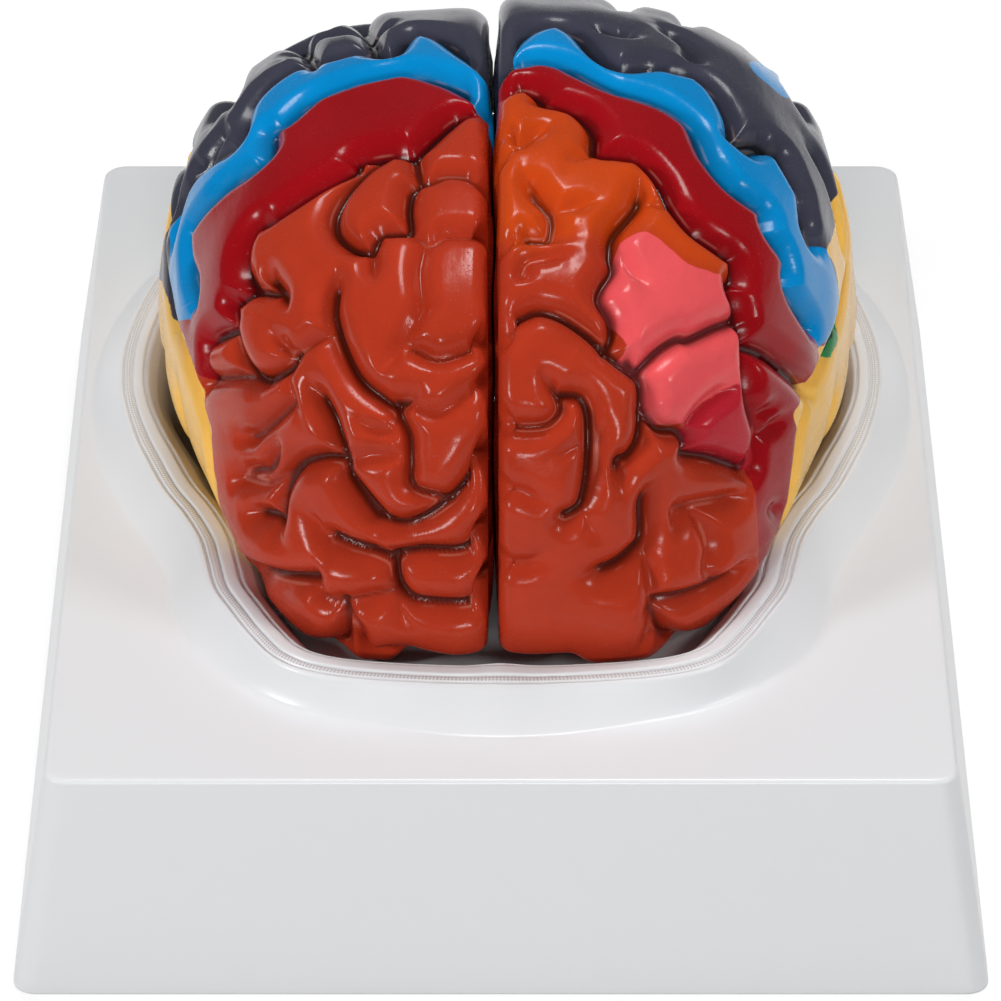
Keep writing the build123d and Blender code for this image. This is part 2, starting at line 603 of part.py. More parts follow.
# Brainstem halves: midbrain, pons and medulla in half rounds along a sloping axis
for side in sides:
    bend = np.linspace(0.0, np.pi, stem_points)
    along = stem_axis / stem_length
    rings = []
    for radius, share in stem_profile:
        middle = np.array(stem_foot) + share * stem_axis
        x = brain_mid_x + side_sign[side] * (joint_gap / 2 + radius * np.sin(bend))
        y = middle[0] + radius * np.cos(bend) * along[1]
        z = middle[1] - radius * np.cos(bend) * along[0]
        rings.append(np.stack([x, y, z], axis=1))
    with BuildPart() as half_stem:
        add(faceted_solid(rings, np.zeros((len(rings), stem_points)), rings[-1].mean(axis=0)))
    half_stem.part.label = side + "_brainstem"
    export_step(half_stem.part, "parts/" + side + "_brainstem.step")

# Outline of the raised cut surface of the corpus callosum, in the medial plane
callosum_angle = np.radians(np.linspace(*callosum_span, callosum_points))
callosum_outer = np.array([np.cos(callosum_angle), np.sin(callosum_angle)]).T
callosum_thickness = np.full(callosum_points, callosum_height / 2)
callosum_thickness[[0, -1]] = callosum_height / 4
callosum_line = np.concatenate([
    callosum_middle + callosum_outer * (callosum_radius + callosum_thickness)[:, None],
    (callosum_middle + callosum_outer * (callosum_radius - callosum_thickness)[:, None])[::-1]])


# Fronto-parietal and temporo-occipital pieces of both hemispheres
for side in sides:
    sign = side_sign[side]
    medial_x = brain_mid_x + sign * fissure_half_gap
    medial_face = Plane(origin=(medial_x, 0, 0), x_dir=(0, 1, 0), z_dir=(1, 0, 0))
    with BuildPart() as upper:
        add(faceted_solid(upper_rings[side], upper_sink[side], sylvian_tip[side]))
        with BuildSketch(medial_face):
            with BuildLine():
                Polyline(*[(float(y), float(z)) for y, z in callosum_line], close=True)
            make_face()
        extrude(amount=-sign * (fissure_half_gap - joint_gap / 2))
        with BuildSketch(medial_face):
            with Locations(*midline_pin_places):
                Circle(pin_diameter / 2 + pin_clearance)
        extrude(amount=sign * midline_pin_length / 2, mode=Mode.SUBTRACT)
    upper.part.label = side + "_fronto_parietal"
    export_step(upper.part, "parts/" + side + "_fronto_parietal.step")
    with BuildPart() as lower:
        add(faceted_solid(lower_rings[side], lower_sink[side], sylvian_tip[side] + lower_shift))
    lower.part.label = side + "_temporo_occipital"
    export_step(lower.part, "parts/" + side + "_temporo_occipital.step")

# Locating pins across the fissure
with BuildPart() as midline_pins:
    with BuildSketch(Plane(origin=(brain_mid_x, 0, 0), x_dir=(0, 1, 0), z_dir=(1, 0, 0))):
        with Locations(*midline_pin_places):
            Circle(pin_diameter / 2)
    extrude(amount=midline_pin_length / 2 - seat_gap, both=True)
midline_pins.part.label = "midline_pins"
export_step(midline_pins.part, "parts/midline_pins.step")
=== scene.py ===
import bpy
import numpy as np
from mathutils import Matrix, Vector

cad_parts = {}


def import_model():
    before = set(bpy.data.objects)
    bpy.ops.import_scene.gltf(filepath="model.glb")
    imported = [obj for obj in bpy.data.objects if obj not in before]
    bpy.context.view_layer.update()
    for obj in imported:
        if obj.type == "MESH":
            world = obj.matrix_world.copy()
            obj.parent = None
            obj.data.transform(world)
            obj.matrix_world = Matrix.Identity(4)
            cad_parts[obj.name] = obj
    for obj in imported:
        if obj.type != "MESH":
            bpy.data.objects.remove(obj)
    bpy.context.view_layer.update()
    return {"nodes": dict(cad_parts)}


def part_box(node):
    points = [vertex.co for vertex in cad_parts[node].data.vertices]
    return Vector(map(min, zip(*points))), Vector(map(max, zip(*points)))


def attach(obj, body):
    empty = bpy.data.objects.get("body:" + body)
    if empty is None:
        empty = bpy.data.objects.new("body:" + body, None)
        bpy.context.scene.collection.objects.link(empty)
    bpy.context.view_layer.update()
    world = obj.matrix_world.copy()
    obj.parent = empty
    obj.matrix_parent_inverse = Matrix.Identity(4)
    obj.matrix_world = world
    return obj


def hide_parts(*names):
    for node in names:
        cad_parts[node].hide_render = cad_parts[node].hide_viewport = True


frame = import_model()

# Base: one hollow shell, open below, injection moulded in glossy white plastic. Its plate has
# drafted sides, and the mound in the outline of a skull, the rim of cut bone with its grooves and
# stippled marrow band, and the cavity that the brain rests in are all moulded with it.
base_middle = np.array([0.0, 5.0])
plate_half = np.array([88.0, 115.0])
plate_corner = 4.5
hollow_corner = 2.5
base_height = 46.3
side_flare = 7.3
wall = 3.0
rim_top = 53.0
lip_inset = 9.6
lip_level = 50.0
bowl_inset = 12.6
pit_inset = 13.1
rim_half = [(0, -92.5), (20, -91.5), (35, -89), (44, -84), (49.5, -76), (54, -67), (57.5, -59),
            (59.3, -50), (61, -42), (64.5, -33), (69, -24), (73, -13), (75.8, -4), (78.5, 9),
            (79.5, 22), (78.8, 34), (76.5, 47), (72.5, 60), (64.5, 75), (50, 90), (28, 99), (0, 102)]
foot_half = [(0, -100.5), (12, -99.6), (26, -96), (40, -91), (51, -83), (60, -73), (65, -60),
             (67, -48), (71.5, -36), (78, -21), (83, -6), (85.5, 9), (86, 22), (85.2, 36), (82.5, 50),
             (77.5, 64), (69, 79), (54, 95), (30, 105), (0, 108.5)]
seat_gap = 0.3
orbital_floor = 1000 * min(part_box(side + "_fronto_parietal")[0].z for side in ("left", "right")) - seat_gap
temporal_floor = 1000 * min(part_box(side + "_temporo_occipital")[0].z for side in ("left", "right")) - seat_gap
posterior_floor = 1000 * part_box("left_cerebellum")[0].z - seat_gap

# Profile of the rim from the cavity outwards, as (inset, height): slope, lip, bone with its inner
# groove, smooth band, groove, stippled band, outer groove, edge
rim_profile = [(bowl_inset, orbital_floor), (11.4, 47.3), (10.2, 49.1), (9.85, 49.62), (lip_inset, lip_level),
               (9.3, 50.3), (8.6, 50.9), (7.6, 51.8), (6.75, 52.58), (6.6, 52.42), (6.3, 52.2),
               (6.05, 52.45), (5.9, 52.85), (5.75, 52.98), (5.3, rim_top), (4.6, rim_top), (3.9, rim_top),
               (3.5, 52.98), (3.35, 52.85), (3.22, 52.45), (3.0, 52.2), (2.78, 52.45), (2.65, 52.8),
               (2.5, 52.9), (2.15, 52.9), (1.85, 52.9), (1.55, 52.9), (1.28, 52.88), (1.15, 52.75),
               (1.02, 52.45), (0.8, 52.2), (0.58, 52.45), (0.45, 52.82), (0.3, 52.95), (0.0, 52.9),
               (-0.4, 52.6)]
groove_insets = (0.8, 3.0, 6.3)
stipple_insets = (1.55, 2.2)
stipple_half_pitch = 0.36
slope_drop = 6.3
edge_radius = 1.0
edge_draw_in = 0.92
in_cavity, outside = 20.0, -20.0

# Plan of the cavity's pits: the two in the middle beside the saddle, the rear one, and the stem's well
cavity_middle = -1.5
saddle_half = 9.0
pit_front, pit_back = -49.0, 20.0
rear_pit_front = 10.0
well_front, well_half = -22.0, 19.0
wall_run = 2.5


def ramp(value, start, end):
    """Eased step: 0 before start, 1 after end, t squared times (3 - 2 t) between them."""
    t = np.clip((value - start) / (end - start), 0.0, 1.0)
    return t * t * (3.0 - 2.0 * t)


def smooth_line(points, steps, closed=False):
    """Catmull-Rom curve through points: on each span a cubic whose slope at a knot is half the
    step from the knot before it to the knot after it."""
    knots = np.array(points, float)
    if closed:
        knots = np.concatenate([knots[-1:], knots, knots[:2]])
    else:
        knots = np.concatenate([2 * knots[:1] - knots[1:2], knots, 2 * knots[-1:] - knots[-2:-1]])
    p0, p1, p2, p3 = knots[:-3], knots[1:-2], knots[2:-1], knots[3:]
    t = np.linspace(0.0, 1.0, steps, endpoint=False)[:, None, None]
    curve = p1 + (p2 - p0) * t / 2 + (p0 - 2.5 * p1 + 2 * p2 - p3 / 2) * t ** 2
    curve = curve + (1.5 * (p1 - p2) + (p3 - p0) / 2) * t ** 3
    curve = curve.transpose(1, 0, 2).reshape(-1, knots.shape[1])
    return curve if closed else np.concatenate([curve, knots[-2:-1]])


def mirrored_loop(half):
    """Closed curve through a half outline and its mirror image."""
    half = np.array(half, float)
    return smooth_line(np.concatenate([half, half[-2:0:-1] * [-1.0, 1.0]]), 24, closed=True)


def plate_outline(grow, corner, straight_step=1.5, corner_steps=9):
    """Points round a rectangle with rounded corners: quarter circles joined by straight runs."""
    half = plate_half + grow
    arc = np.linspace(0.0, np.pi / 2, corner_steps)
    parts = []
    for turns, sign in enumerate([(1, 1), (-1, 1), (-1, -1), (1, -1)]):
        centre = (half - corner) * sign
        angle = arc + turns * np.pi / 2
        parts.append(centre + corner * np.stack([np.cos(angle), np.sin(angle)], axis=1))
    points = np.concatenate(parts)
    ahead = np.roll(points, -1, axis=0)
    runs = []
    for start, end in zip(points, ahead):
        count = max(1, int(np.linalg.norm(end - start) / straight_step))
        runs.append(start + (end - start) * np.arange(count)[:, None] / count)
    return np.concatenate(runs)


def reach(curve, angles):
    """Distance of a closed curve from the base's middle at each angle, read off between its points."""
    offset = curve - base_middle
    around = np.arctan2(offset[:, 0], -offset[:, 1])
    order = np.argsort(around)
    around, far = around[order], np.hypot(offset[order, 0], offset[order, 1])
    around = np.concatenate([around - 2 * np.pi, around, around + 2 * np.pi])
    return np.interp(angles, around, np.tile(far, 3))


rim_curve = mirrored_loop(rim_half)
rim_ahead = np.roll(rim_curve, -1, axis=0) - np.roll(rim_curve, 1, axis=0)
rim_inward = np.stack([-rim_ahead[:, 1], rim_ahead[:, 0]], axis=1)
rim_inward /= np.linalg.norm(rim_inward, axis=1)[:, None]
rim_share = 1.0 - 0.22 * ramp(rim_curve[:, 1], -15.0, 15.0)
rim_crest = 1.4 * np.exp(-(rim_curve[:, 0] / 5.0) ** 2) * (rim_curve[:, 1] < 0)
corner_points = plate_outline(0.0, plate_corner)
column_angle = np.sort(np.arctan2(corner_points[:, 0], -(corner_points[:, 1] - base_middle[1])))


def rim_reach(inset):
    """The rim's outline drawn inwards by an inset, which is narrower round the back and has the
    small crest at the middle of the front."""
    shift = inset * rim_share + rim_crest * inset / lip_inset
    return reach(rim_curve + rim_inward * shift[:, None], column_angle)


def plate_reach(grow, corner=plate_corner):
    """The plate's rounded rectangle grown by a distance."""
    return reach(plate_outline(grow, corner, 0.5, 16), column_angle)


def cavity_level(x, y, spread):
    """Height of the cavity's floor: the shelf under the frontal lobes, the two pits of the temporal
    lobes with the saddle between them, and the pit behind for cerebellum and brainstem. The walls
    are eased steps, moved outwards by spread."""
    def past(value, edge):
        """0 before the wall at an edge, 1 behind it."""
        return ramp(value, edge - spread - wall_run, edge - spread)

    def before(value, edge):
        """1 before the wall at an edge, 0 behind it."""
        return 1.0 - ramp(value, edge + spread, edge + spread + wall_run)

    across = np.abs(x - cavity_middle)
    beside = np.maximum(past(across, saddle_half), past(y, well_front))
    middle = past(y, pit_front) * beside * before(y, pit_back)
    behind = np.maximum(past(y, rear_pit_front), before(across, well_half) * past(y, well_front))
    level = orbital_floor + (temporal_floor - orbital_floor) * middle
    return np.minimum(level, orbital_floor + (posterior_floor - orbital_floor) * behind)


def placed(far, height):
    """One row of the shell: a distance at each column's angle and a height, as points."""
    x = base_middle[0] + far * np.sin(column_angle)
    y = base_middle[1] - far * np.cos(column_angle)
    return np.stack([x, y, np.broadcast_to(height, far.shape)], axis=1)


def row_mesh(name, rows, first, last, corner_uv=None):
    """Closed mesh through rows of points, each row a ring, with a fan to a first and to a last
    point. The faces are turned outwards by the sign of the volume that they enclose. Points are
    in millimetres and the mesh is in metres. corner_uv is a pair of arrays, a run along the rows
    with one value more than a row has points, and a value for each row."""
    levels, count = rows.shape[:2]
    points = np.concatenate([[first], rows.reshape(-1, 3), [last]]) * 0.001
    j, i = np.meshgrid(np.arange(levels - 1), np.arange(count), indexing="ij")
    a = (1 + j * count + i).ravel()
    b = (1 + j * count + (i + 1) % count).ravel()
    quads = np.stack([a, b, b + count, a + count], axis=1)
    i = np.arange(count)
    near = np.stack([np.zeros(count, int), 1 + (i + 1) % count, 1 + i], axis=1)
    base = 1 + (levels - 1) * count
    far = np.stack([np.full(count, len(points) - 1), base + i, base + (i + 1) % count], axis=1)
    volume = sum(np.einsum("ij,ij->", points[f[:, 0]], np.cross(points[f[:, 1]], points[f[:, 2]]))
                 for f in (quads[:, :3], quads[:, [0, 2, 3]], near, far))
    if volume < 0:
        quads, near, far = quads[:, ::-1], near[:, ::-1], far[:, ::-1]
    mesh = bpy.data.meshes.new(name)
    mesh.from_pydata(points.tolist(), [], quads.tolist() + near.tolist() + far.tolist())
    mesh.shade_smooth()
    if corner_uv is not None:
        run, value = corner_uv
        j, i = np.divmod(np.arange((levels - 1) * count), count)
        u = np.stack([run[i], run[i + 1], run[i + 1], run[i]], axis=1)
        v = np.stack([value[j], value[j], value[j + 1], value[j + 1]], axis=1)
        if volume < 0:
            u, v = u[:, ::-1], v[:, ::-1]
        flat = np.zeros((len(mesh.loops), 2))
        flat[:u.size] = np.stack([u.ravel(), v.ravel()], axis=1)
        mesh.uv_layers.new(name="rim_run").data.foreach_set("uv", flat.ravel().astype(np.float32))
    piece = bpy.data.objects.new(name, mesh)
    bpy.context.scene.collection.objects.link(piece)
    return piece


shell_rows = []
shell_inset = []


def add_row(far, height, inset=outside):
    """Keeps one row of the shell, and how far inside the rim's outer edge it runs."""
    shell_rows.append(placed(far, height))
    shell_inset.append(inset)


pit_far = rim_reach(pit_inset)
for share in np.linspace(0.04, 1.0, 30):
    at = placed(pit_far * share, 0.0)
    add_row(pit_far * share, cavity_level(at[:, 0], at[:, 1], 0.0), in_cavity)
for inset, height in rim_profile:
    add_row(rim_reach(inset), height, inset)
slope_far, foot_far = rim_reach(-0.4), reach(mirrored_loop(foot_half), column_angle)
for share in [0.06, 0.14, 0.24, 0.34, 0.44, 0.54, 0.64, 0.73, 0.81, 0.88, 0.94, 1.0]:
    add_row(slope_far + (foot_far - slope_far) * share, base_height + slope_drop * (1.0 - share) ** 1.3)
edge_far = plate_reach(-edge_draw_in)
for share in [0.04, 0.5, 0.96]:
    add_row(foot_far + (edge_far - foot_far) * share, base_height)
for angle in np.radians([0, 15, 30, 45, 60, 72, 82]):
    height = base_height - edge_radius * (1.0 - np.cos(angle))
    add_row(plate_reach(edge_radius * np.sin(angle) - edge_draw_in), height)
for height in [43.0, 36.0, 24.0, 12.0, 2.0, 0.5]:
    add_row(plate_reach(side_flare * (base_height - height) / base_height), height)
for grow, height in [(-0.08, 0.15), (-0.35, 0.0), (0.35 - wall, 0.0), (-wall, 0.3)]:
    add_row(plate_reach(side_flare + grow, plate_corner if grow > -1 else hollow_corner), height)
for height in [14.0, 28.0, 42.6]:
    add_row(plate_reach(side_flare * (base_height - height) / base_height - wall, hollow_corner), height)
roof_far, hollow_far = plate_reach(side_flare / 15 - wall - 0.5, hollow_corner), rim_reach(-wall)
for share in [0.0, 0.05, 0.5, 0.95, 1.0]:
    add_row(roof_far + (hollow_far - roof_far) * share, base_height - wall)
for inset, height in [(-2.6, 43.8), (2.6, 49.6), (wall, rim_top - wall), (6.1, rim_top - wall), (6.4, 49.6),
                      (9.4, orbital_floor - 2.6), (bowl_inset - wall, orbital_floor - wall)]:
    add_row(rim_reach(inset), height)
tub_far = rim_reach(pit_inset - wall)
for share in np.linspace(1.0, 0.05, 20):
    at = placed(tub_far * share, 0.0)
    add_row(tub_far * share, cavity_level(at[:, 0], at[:, 1], wall) - wall)
shell_rows = np.array(shell_rows)
middle_level = float(cavity_level(*base_middle, 0.0))
band = placed(rim_reach(2.0), rim_top)
band_step = np.linalg.norm(np.diff(np.concatenate([band, band[:1]]), axis=0), axis=1)
band_run = np.concatenate([[0.0], np.cumsum(band_step)])
base_shell = row_mesh("base_shell", shell_rows, (*base_middle, middle_level),
                      (*base_middle, middle_level - wall), (band_run, np.array(shell_inset)))


def paint(red, green, blue):
    """A colour given as three numbers from 0 to 255, as the linear values that a shader takes."""
    share = np.array([red, green, blue]) / 255.0
    linear = np.where(share < 0.04045, share / 12.92, ((share + 0.055) / 1.055) ** 2.4)
    return (*[float(value) for value in linear], 1.0)


def node(tree, kind, inputs=None, **settings):
    """Adds a shader node, sets its properties, and gives inputs their values or links."""
    made = tree.nodes.new(kind)
    for key, value in settings.items():
        setattr(made, key, value)
    for key, value in (inputs or {}).items():
        if isinstance(value, bpy.types.NodeSocket):
            tree.links.new(value, made.inputs[key])
        else:
            made.inputs[key].default_value = value
    return made


def calc(tree, operation, *values):
    """Output of a Math node on values or sockets."""
    return node(tree, "ShaderNodeMath", dict(enumerate(values)), operation=operation).outputs[0]


def link_all(tree, target, values):
    """Links sockets to a node's inputs by their names."""
    for label, value in values.items():
        tree.links.new(value, target.inputs[label])


def varied(tree, value, drift, amount):
    """Output of a value plus an amount times how far a noise is from a half."""
    return calc(tree, "MULTIPLY_ADD", calc(tree, "SUBTRACT", drift, 0.5), amount, value)


def eased(tree, value, low, high, start=0.0, end=1.0):
    """Output of a Map Range node that eases from start at low to end at high."""
    made = node(tree, "ShaderNodeMapRange", {"Value": value, "From Min": low, "From Max": high,
                                             "To Min": start, "To Max": end},
                interpolation_type="SMOOTHSTEP")
    return made.outputs[0]


def shaded(tree, colour, shade):
    """Output of a colour multiplied by a shade."""
    shade = node(tree, "ShaderNodeCombineColor", {0: shade, 1: shade, 2: shade}).outputs[0]
    return mixed(tree, 1.0, colour, shade, "MULTIPLY")


def off_places(tree, value, places):
    """Distance of a value from the nearest of some places."""
    gaps = [calc(tree, "ABSOLUTE", calc(tree, "SUBTRACT", value, place)) for place in places]
    nearest = gaps[0]
    for gap in gaps[1:]:
        nearest = calc(tree, "MINIMUM", nearest, gap)
    return nearest


def mixed(tree, share, first, second, mode="MIX"):
    """Output of a Mix Color node: first where share is 0, second where it is 1."""
    made = node(tree, "ShaderNodeMix", {0: share, 6: first, 7: second}, data_type="RGBA", blend_type=mode)
    return made.outputs[2]


def noise(tree, place, scale, detail=2.0, roughness=0.5):
    """Output of a Noise Texture node, about 0.5 on average."""
    made = node(tree, "ShaderNodeTexNoise", {"Vector": place, "Scale": scale, "Detail": detail,
                                             "Roughness": roughness})
    return made.outputs["Fac"]


def new_group(name, inputs, outputs):
    """An empty node group with float, colour or vector sockets, its tree, input and output nodes."""
    tree = bpy.data.node_groups.new(name, "ShaderNodeTree")
    for in_out, sockets in (("INPUT", inputs), ("OUTPUT", outputs)):
        for label, kind, value in sockets:
            socket = tree.interface.new_socket(name=label, in_out=in_out, socket_type="NodeSocket" + kind)
            if value is not None:
                socket.default_value = value
    return tree, tree.nodes.new("NodeGroupInput"), tree.nodes.new("NodeGroupOutput")


def moulded_group():
    """Moulded plastic: a slow drift of shade, faint scuffs, and the ripple of a cooled skin. Drift
    and Scuffs scale the two, and the outputs are a shade to multiply by, a roughness and a height."""
    tree, given, result = new_group(
        "moulded_plastic", [("Drift", "Float", 0.03), ("Scuffs", "Float", 0.05), ("Roughness", "Float", 0.3)],
        [("Shade", "Float", None), ("Roughness", "Float", None), ("Height", "Float", None)])
    place = node(tree, "ShaderNodeTexCoord").outputs["Object"]
    slow = noise(tree, place, 14.0)
    streak = node(tree, "ShaderNodeMapping", {"Vector": place, "Scale": (1.0, 0.12, 1.0)}).outputs[0]
    scuff = eased(tree, noise(tree, streak, 900.0, 3.0), 0.62, 0.72)
    shade = varied(tree, 1.0, slow, given.outputs["Drift"])
    rough = calc(tree, "MULTIPLY_ADD", scuff, given.outputs["Scuffs"], given.outputs["Roughness"])
    rough = varied(tree, rough, slow, 0.03)
    ripple = calc(tree, "MULTIPLY", noise(tree, place, 45.0), 0.25)
    link_all(tree, result, {"Shade": shade, "Roughness": rough, "Height": ripple})
    return tree


def new_material(name, roughness=0.3, specular=0.5):
    """A material with its tree and its Principled BSDF, whose even numbers are set here."""
    material = bpy.data.materials.new(name)
    material.use_nodes = True
    shader = material.node_tree.nodes["Principled BSDF"]
    shader.inputs["Roughness"].default_value = roughness
    shader.inputs["Specular IOR Level"].default_value = specular
    return material, material.node_tree, shader


moulded_plastic = moulded_group()
base_white, tree, shader = new_material("base_white_plastic", 0.3, 0.45)
plastic = node(tree, "ShaderNodeGroup", {"Drift": 0.014, "Scuffs": 0.015, "Roughness": 0.3},
               node_tree=moulded_plastic)
rim_run = node(tree, "ShaderNodeUVMap", uv_map="rim_run").outputs[0]
rim_place = node(tree, "ShaderNodeSeparateXYZ", {0: rim_run})
run, inset = rim_place.outputs[0], rim_place.outputs[1]
off_dot = [calc(tree, "PINGPONG", run, stipple_half_pitch), off_places(tree, inset, stipple_insets)]
stipple = calc(tree, "ADD", *[calc(tree, "POWER", off, 2.0) for off in off_dot])
stipple = eased(tree, stipple, 0.02, 0.09, 1.0, 0.0)
groove_shade = eased(tree, off_places(tree, inset, groove_insets), 0.1, 0.42, 1.0, 0.0)
# The stippled dots are darkened by a third: painted shade in their small pits, which the bump also dents.
shade = calc(tree, "MULTIPLY_ADD", stipple, -0.34, plastic.outputs["Shade"])
# The three grooves of the rim are darkened a little: painted shade in them.
shade = calc(tree, "MULTIPLY_ADD", groove_shade, -0.08, shade)
# Inside the lip the white falls to 0.6 of itself down into the cavity: painted shade under the brain.
shade = calc(tree, "MULTIPLY", shade, eased(tree, inset, 9.9, bowl_inset, 1.0, 0.6))
white = shaded(tree, paint(238, 239, 241), shade)
height = calc(tree, "MULTIPLY_ADD", stipple, -1.2, plastic.outputs["Height"])
bump = node(tree, "ShaderNodeBump", {"Height": height, "Strength": 0.25, "Distance": 0.0002})
link_all(tree, shader, {"Base Color": white, "Roughness": plastic.outputs["Roughness"],
                        "Normal": bump.outputs[0]})
base_shell.data.materials.append(base_white)
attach(base_shell, "root")
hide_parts("base")


# Brainstem: midbrain, pons and medulla in two halves, moulded in plastic and painted pale buff. Each
# half rests in the pit behind the saddle and meets the other in the plane of the fissure.
def enamel_group():
    """Hand-painted enamel over moulded plastic. Colour drifts with the brush and darkens with Crease as
    painted shade in the furrows, fine specks of dust lie under the coat, and a thin pale line along the
    walls of a crease here and there is a painted highlight. The outputs are the colour, the roughness
    and a height for the bump."""
    tree, given, result = new_group(
        "brushed_enamel", [("Colour", "Color", (0.5, 0.5, 0.5, 1.0)), ("Crease", "Float", 0.0),
                           ("Roughness", "Float", 0.25)],
        [("Colour", "Color", None), ("Roughness", "Float", None), ("Height", "Float", None)])
    place = node(tree, "ShaderNodeTexCoord").outputs["Object"]
    crease = given.outputs["Crease"]
    brushed = node(tree, "ShaderNodeMapping", {"Vector": place, "Scale": (1.0, 0.35, 1.6)}).outputs[0]
    cloud = noise(tree, brushed, 70.0, 3.0)
    strokes = noise(tree, brushed, 420.0, 2.0)
    specks = eased(tree, noise(tree, place, 1900.0, 1.0), 0.66, 0.74)
    shade = varied(tree, varied(tree, 1.0, cloud, 0.32), strokes, 0.1)
    # Darkening towards the bottom of a furrow is painted shade.
    for low, high, darkest in ((0.3, 0.8, 0.86), (0.66, 0.97, 0.2)):
        shade = calc(tree, "MULTIPLY", shade, eased(tree, crease, low, high, 1.0, darkest))
    colour = shaded(tree, given.outputs["Colour"], shade)
    # A thin pale line along the walls of a crease, broken by noise, is a painted highlight for glints on ridges
    # of paint there.
    broken = eased(tree, noise(tree, place, 110.0, 2.0), 0.5, 0.62)
    crease_glint = calc(tree, "MULTIPLY", eased(tree, off_places(tree, crease, [0.7]), 0.02, 0.07, 1.0, 0.0), broken)
    colour = mixed(tree, calc(tree, "MULTIPLY", crease_glint, 0.14), colour, paint(248, 190, 170))
    rough = varied(tree, given.outputs["Roughness"], cloud, 0.16)
    rough = calc(tree, "MULTIPLY_ADD", specks, 0.2, rough)
    height = calc(tree, "MULTIPLY_ADD", strokes, 0.5, calc(tree, "MULTIPLY", cloud, 0.9))
    height = calc(tree, "MULTIPLY_ADD", specks, 0.15, height)
    link_all(tree, result, {"Colour": colour, "Roughness": rough, "Height": height})
    return tree


def enamel_material(name, colour_of, crease_of=None, roughness=0.2):
    """An enamel paint whose colour and crease are sockets or values worked out in its own tree."""
    material, tree, shader = new_material(name, roughness, 0.16)
    enamel = node(tree, "ShaderNodeGroup", {"Colour": colour_of(tree), "Roughness": roughness,
                                            "Crease": crease_of(tree) if crease_of else 0.0},
                  node_tree=brushed_enamel)
    bump = node(tree, "ShaderNodeBump", {"Height": enamel.outputs["Height"], "Strength": 0.35,
                                         "Distance": 0.0003})
    link_all(tree, shader, {"Base Color": enamel.outputs["Colour"], "Roughness": enamel.outputs["Roughness"],
                            "Normal": bump.outputs[0]})
    return material


def coat(name, material):
    """Gives one of the frame's own pieces its material."""
    materials = frame["nodes"][name].data.materials
    materials.clear()
    materials.append(material)


brushed_enamel = enamel_group()
stem_buff = enamel_material("stem_buff_enamel", lambda tree: paint(226, 200, 160), roughness=0.3)
for side in ("left", "right"):
    coat(side + "_brainstem", stem_buff)


# Cerebellum: two halves with ripples for the folia, moulded in plastic and painted dull pink. They
# rest in the rear pit under the occipital lobes.
def folia_colour(tree):
    """Dull pink, darker along level bands: painted shade that stands for the grooves between the folia."""
    place = node(tree, "ShaderNodeTexCoord").outputs["Object"]
    groove_shade_bands = node(tree, "ShaderNodeTexWave", {"Vector": place, "Scale": 90.0, "Distortion": 2.5,
                                             "Detail": 1.0}, bands_direction="Z").outputs["Fac"]
    return mixed(tree, calc(tree, "MULTIPLY", groove_shade_bands, 0.45), paint(205, 140, 130), paint(140, 80, 78))


folia_pink = enamel_material("cerebellum_pink_enamel", folia_colour, roughness=0.3)
for side in ("left", "right"):
    coat(side + "_cerebellum", folia_pink)

# Temporal and occipital lobes: one hollow moulding for each half, with the furrows moulded in, brushed
# with yellow enamel, green at the back and, on the left, green round the ear pit. The pit itself is not
# moulded: its dark green middle is painted shade. It rests in the middle and rear pits and carries the
# upper piece on its cut face, joint_shift away from it.
side_sign = {"left": 1.0, "right": -1.0}
brain_mid = np.array([-1.5, 5.7, 66.3])
fissure_half_gap = 1.0
half_width = {"left": 70.8, "right": 65.4}
crown_height = {"left": 63.6, "right": 59.3}
front_reach = 86.0
back_reach = 84.7
underside_reach = 46.9
fullness = 2.47
widening = 0.185 / 80.0
keel_narrowing = 0.21
medial_edge_radius = 4.0
sylvian_pole = (-0.09, 0.17)
joint_shift = np.array([0.0, 0.21, -0.28])
view_eye = np.array([0.0, -1056.2, 746.1])
view_tilt = np.radians(34.0)
view_focal = 6117.0
view_centre = (501.0, 500.5)

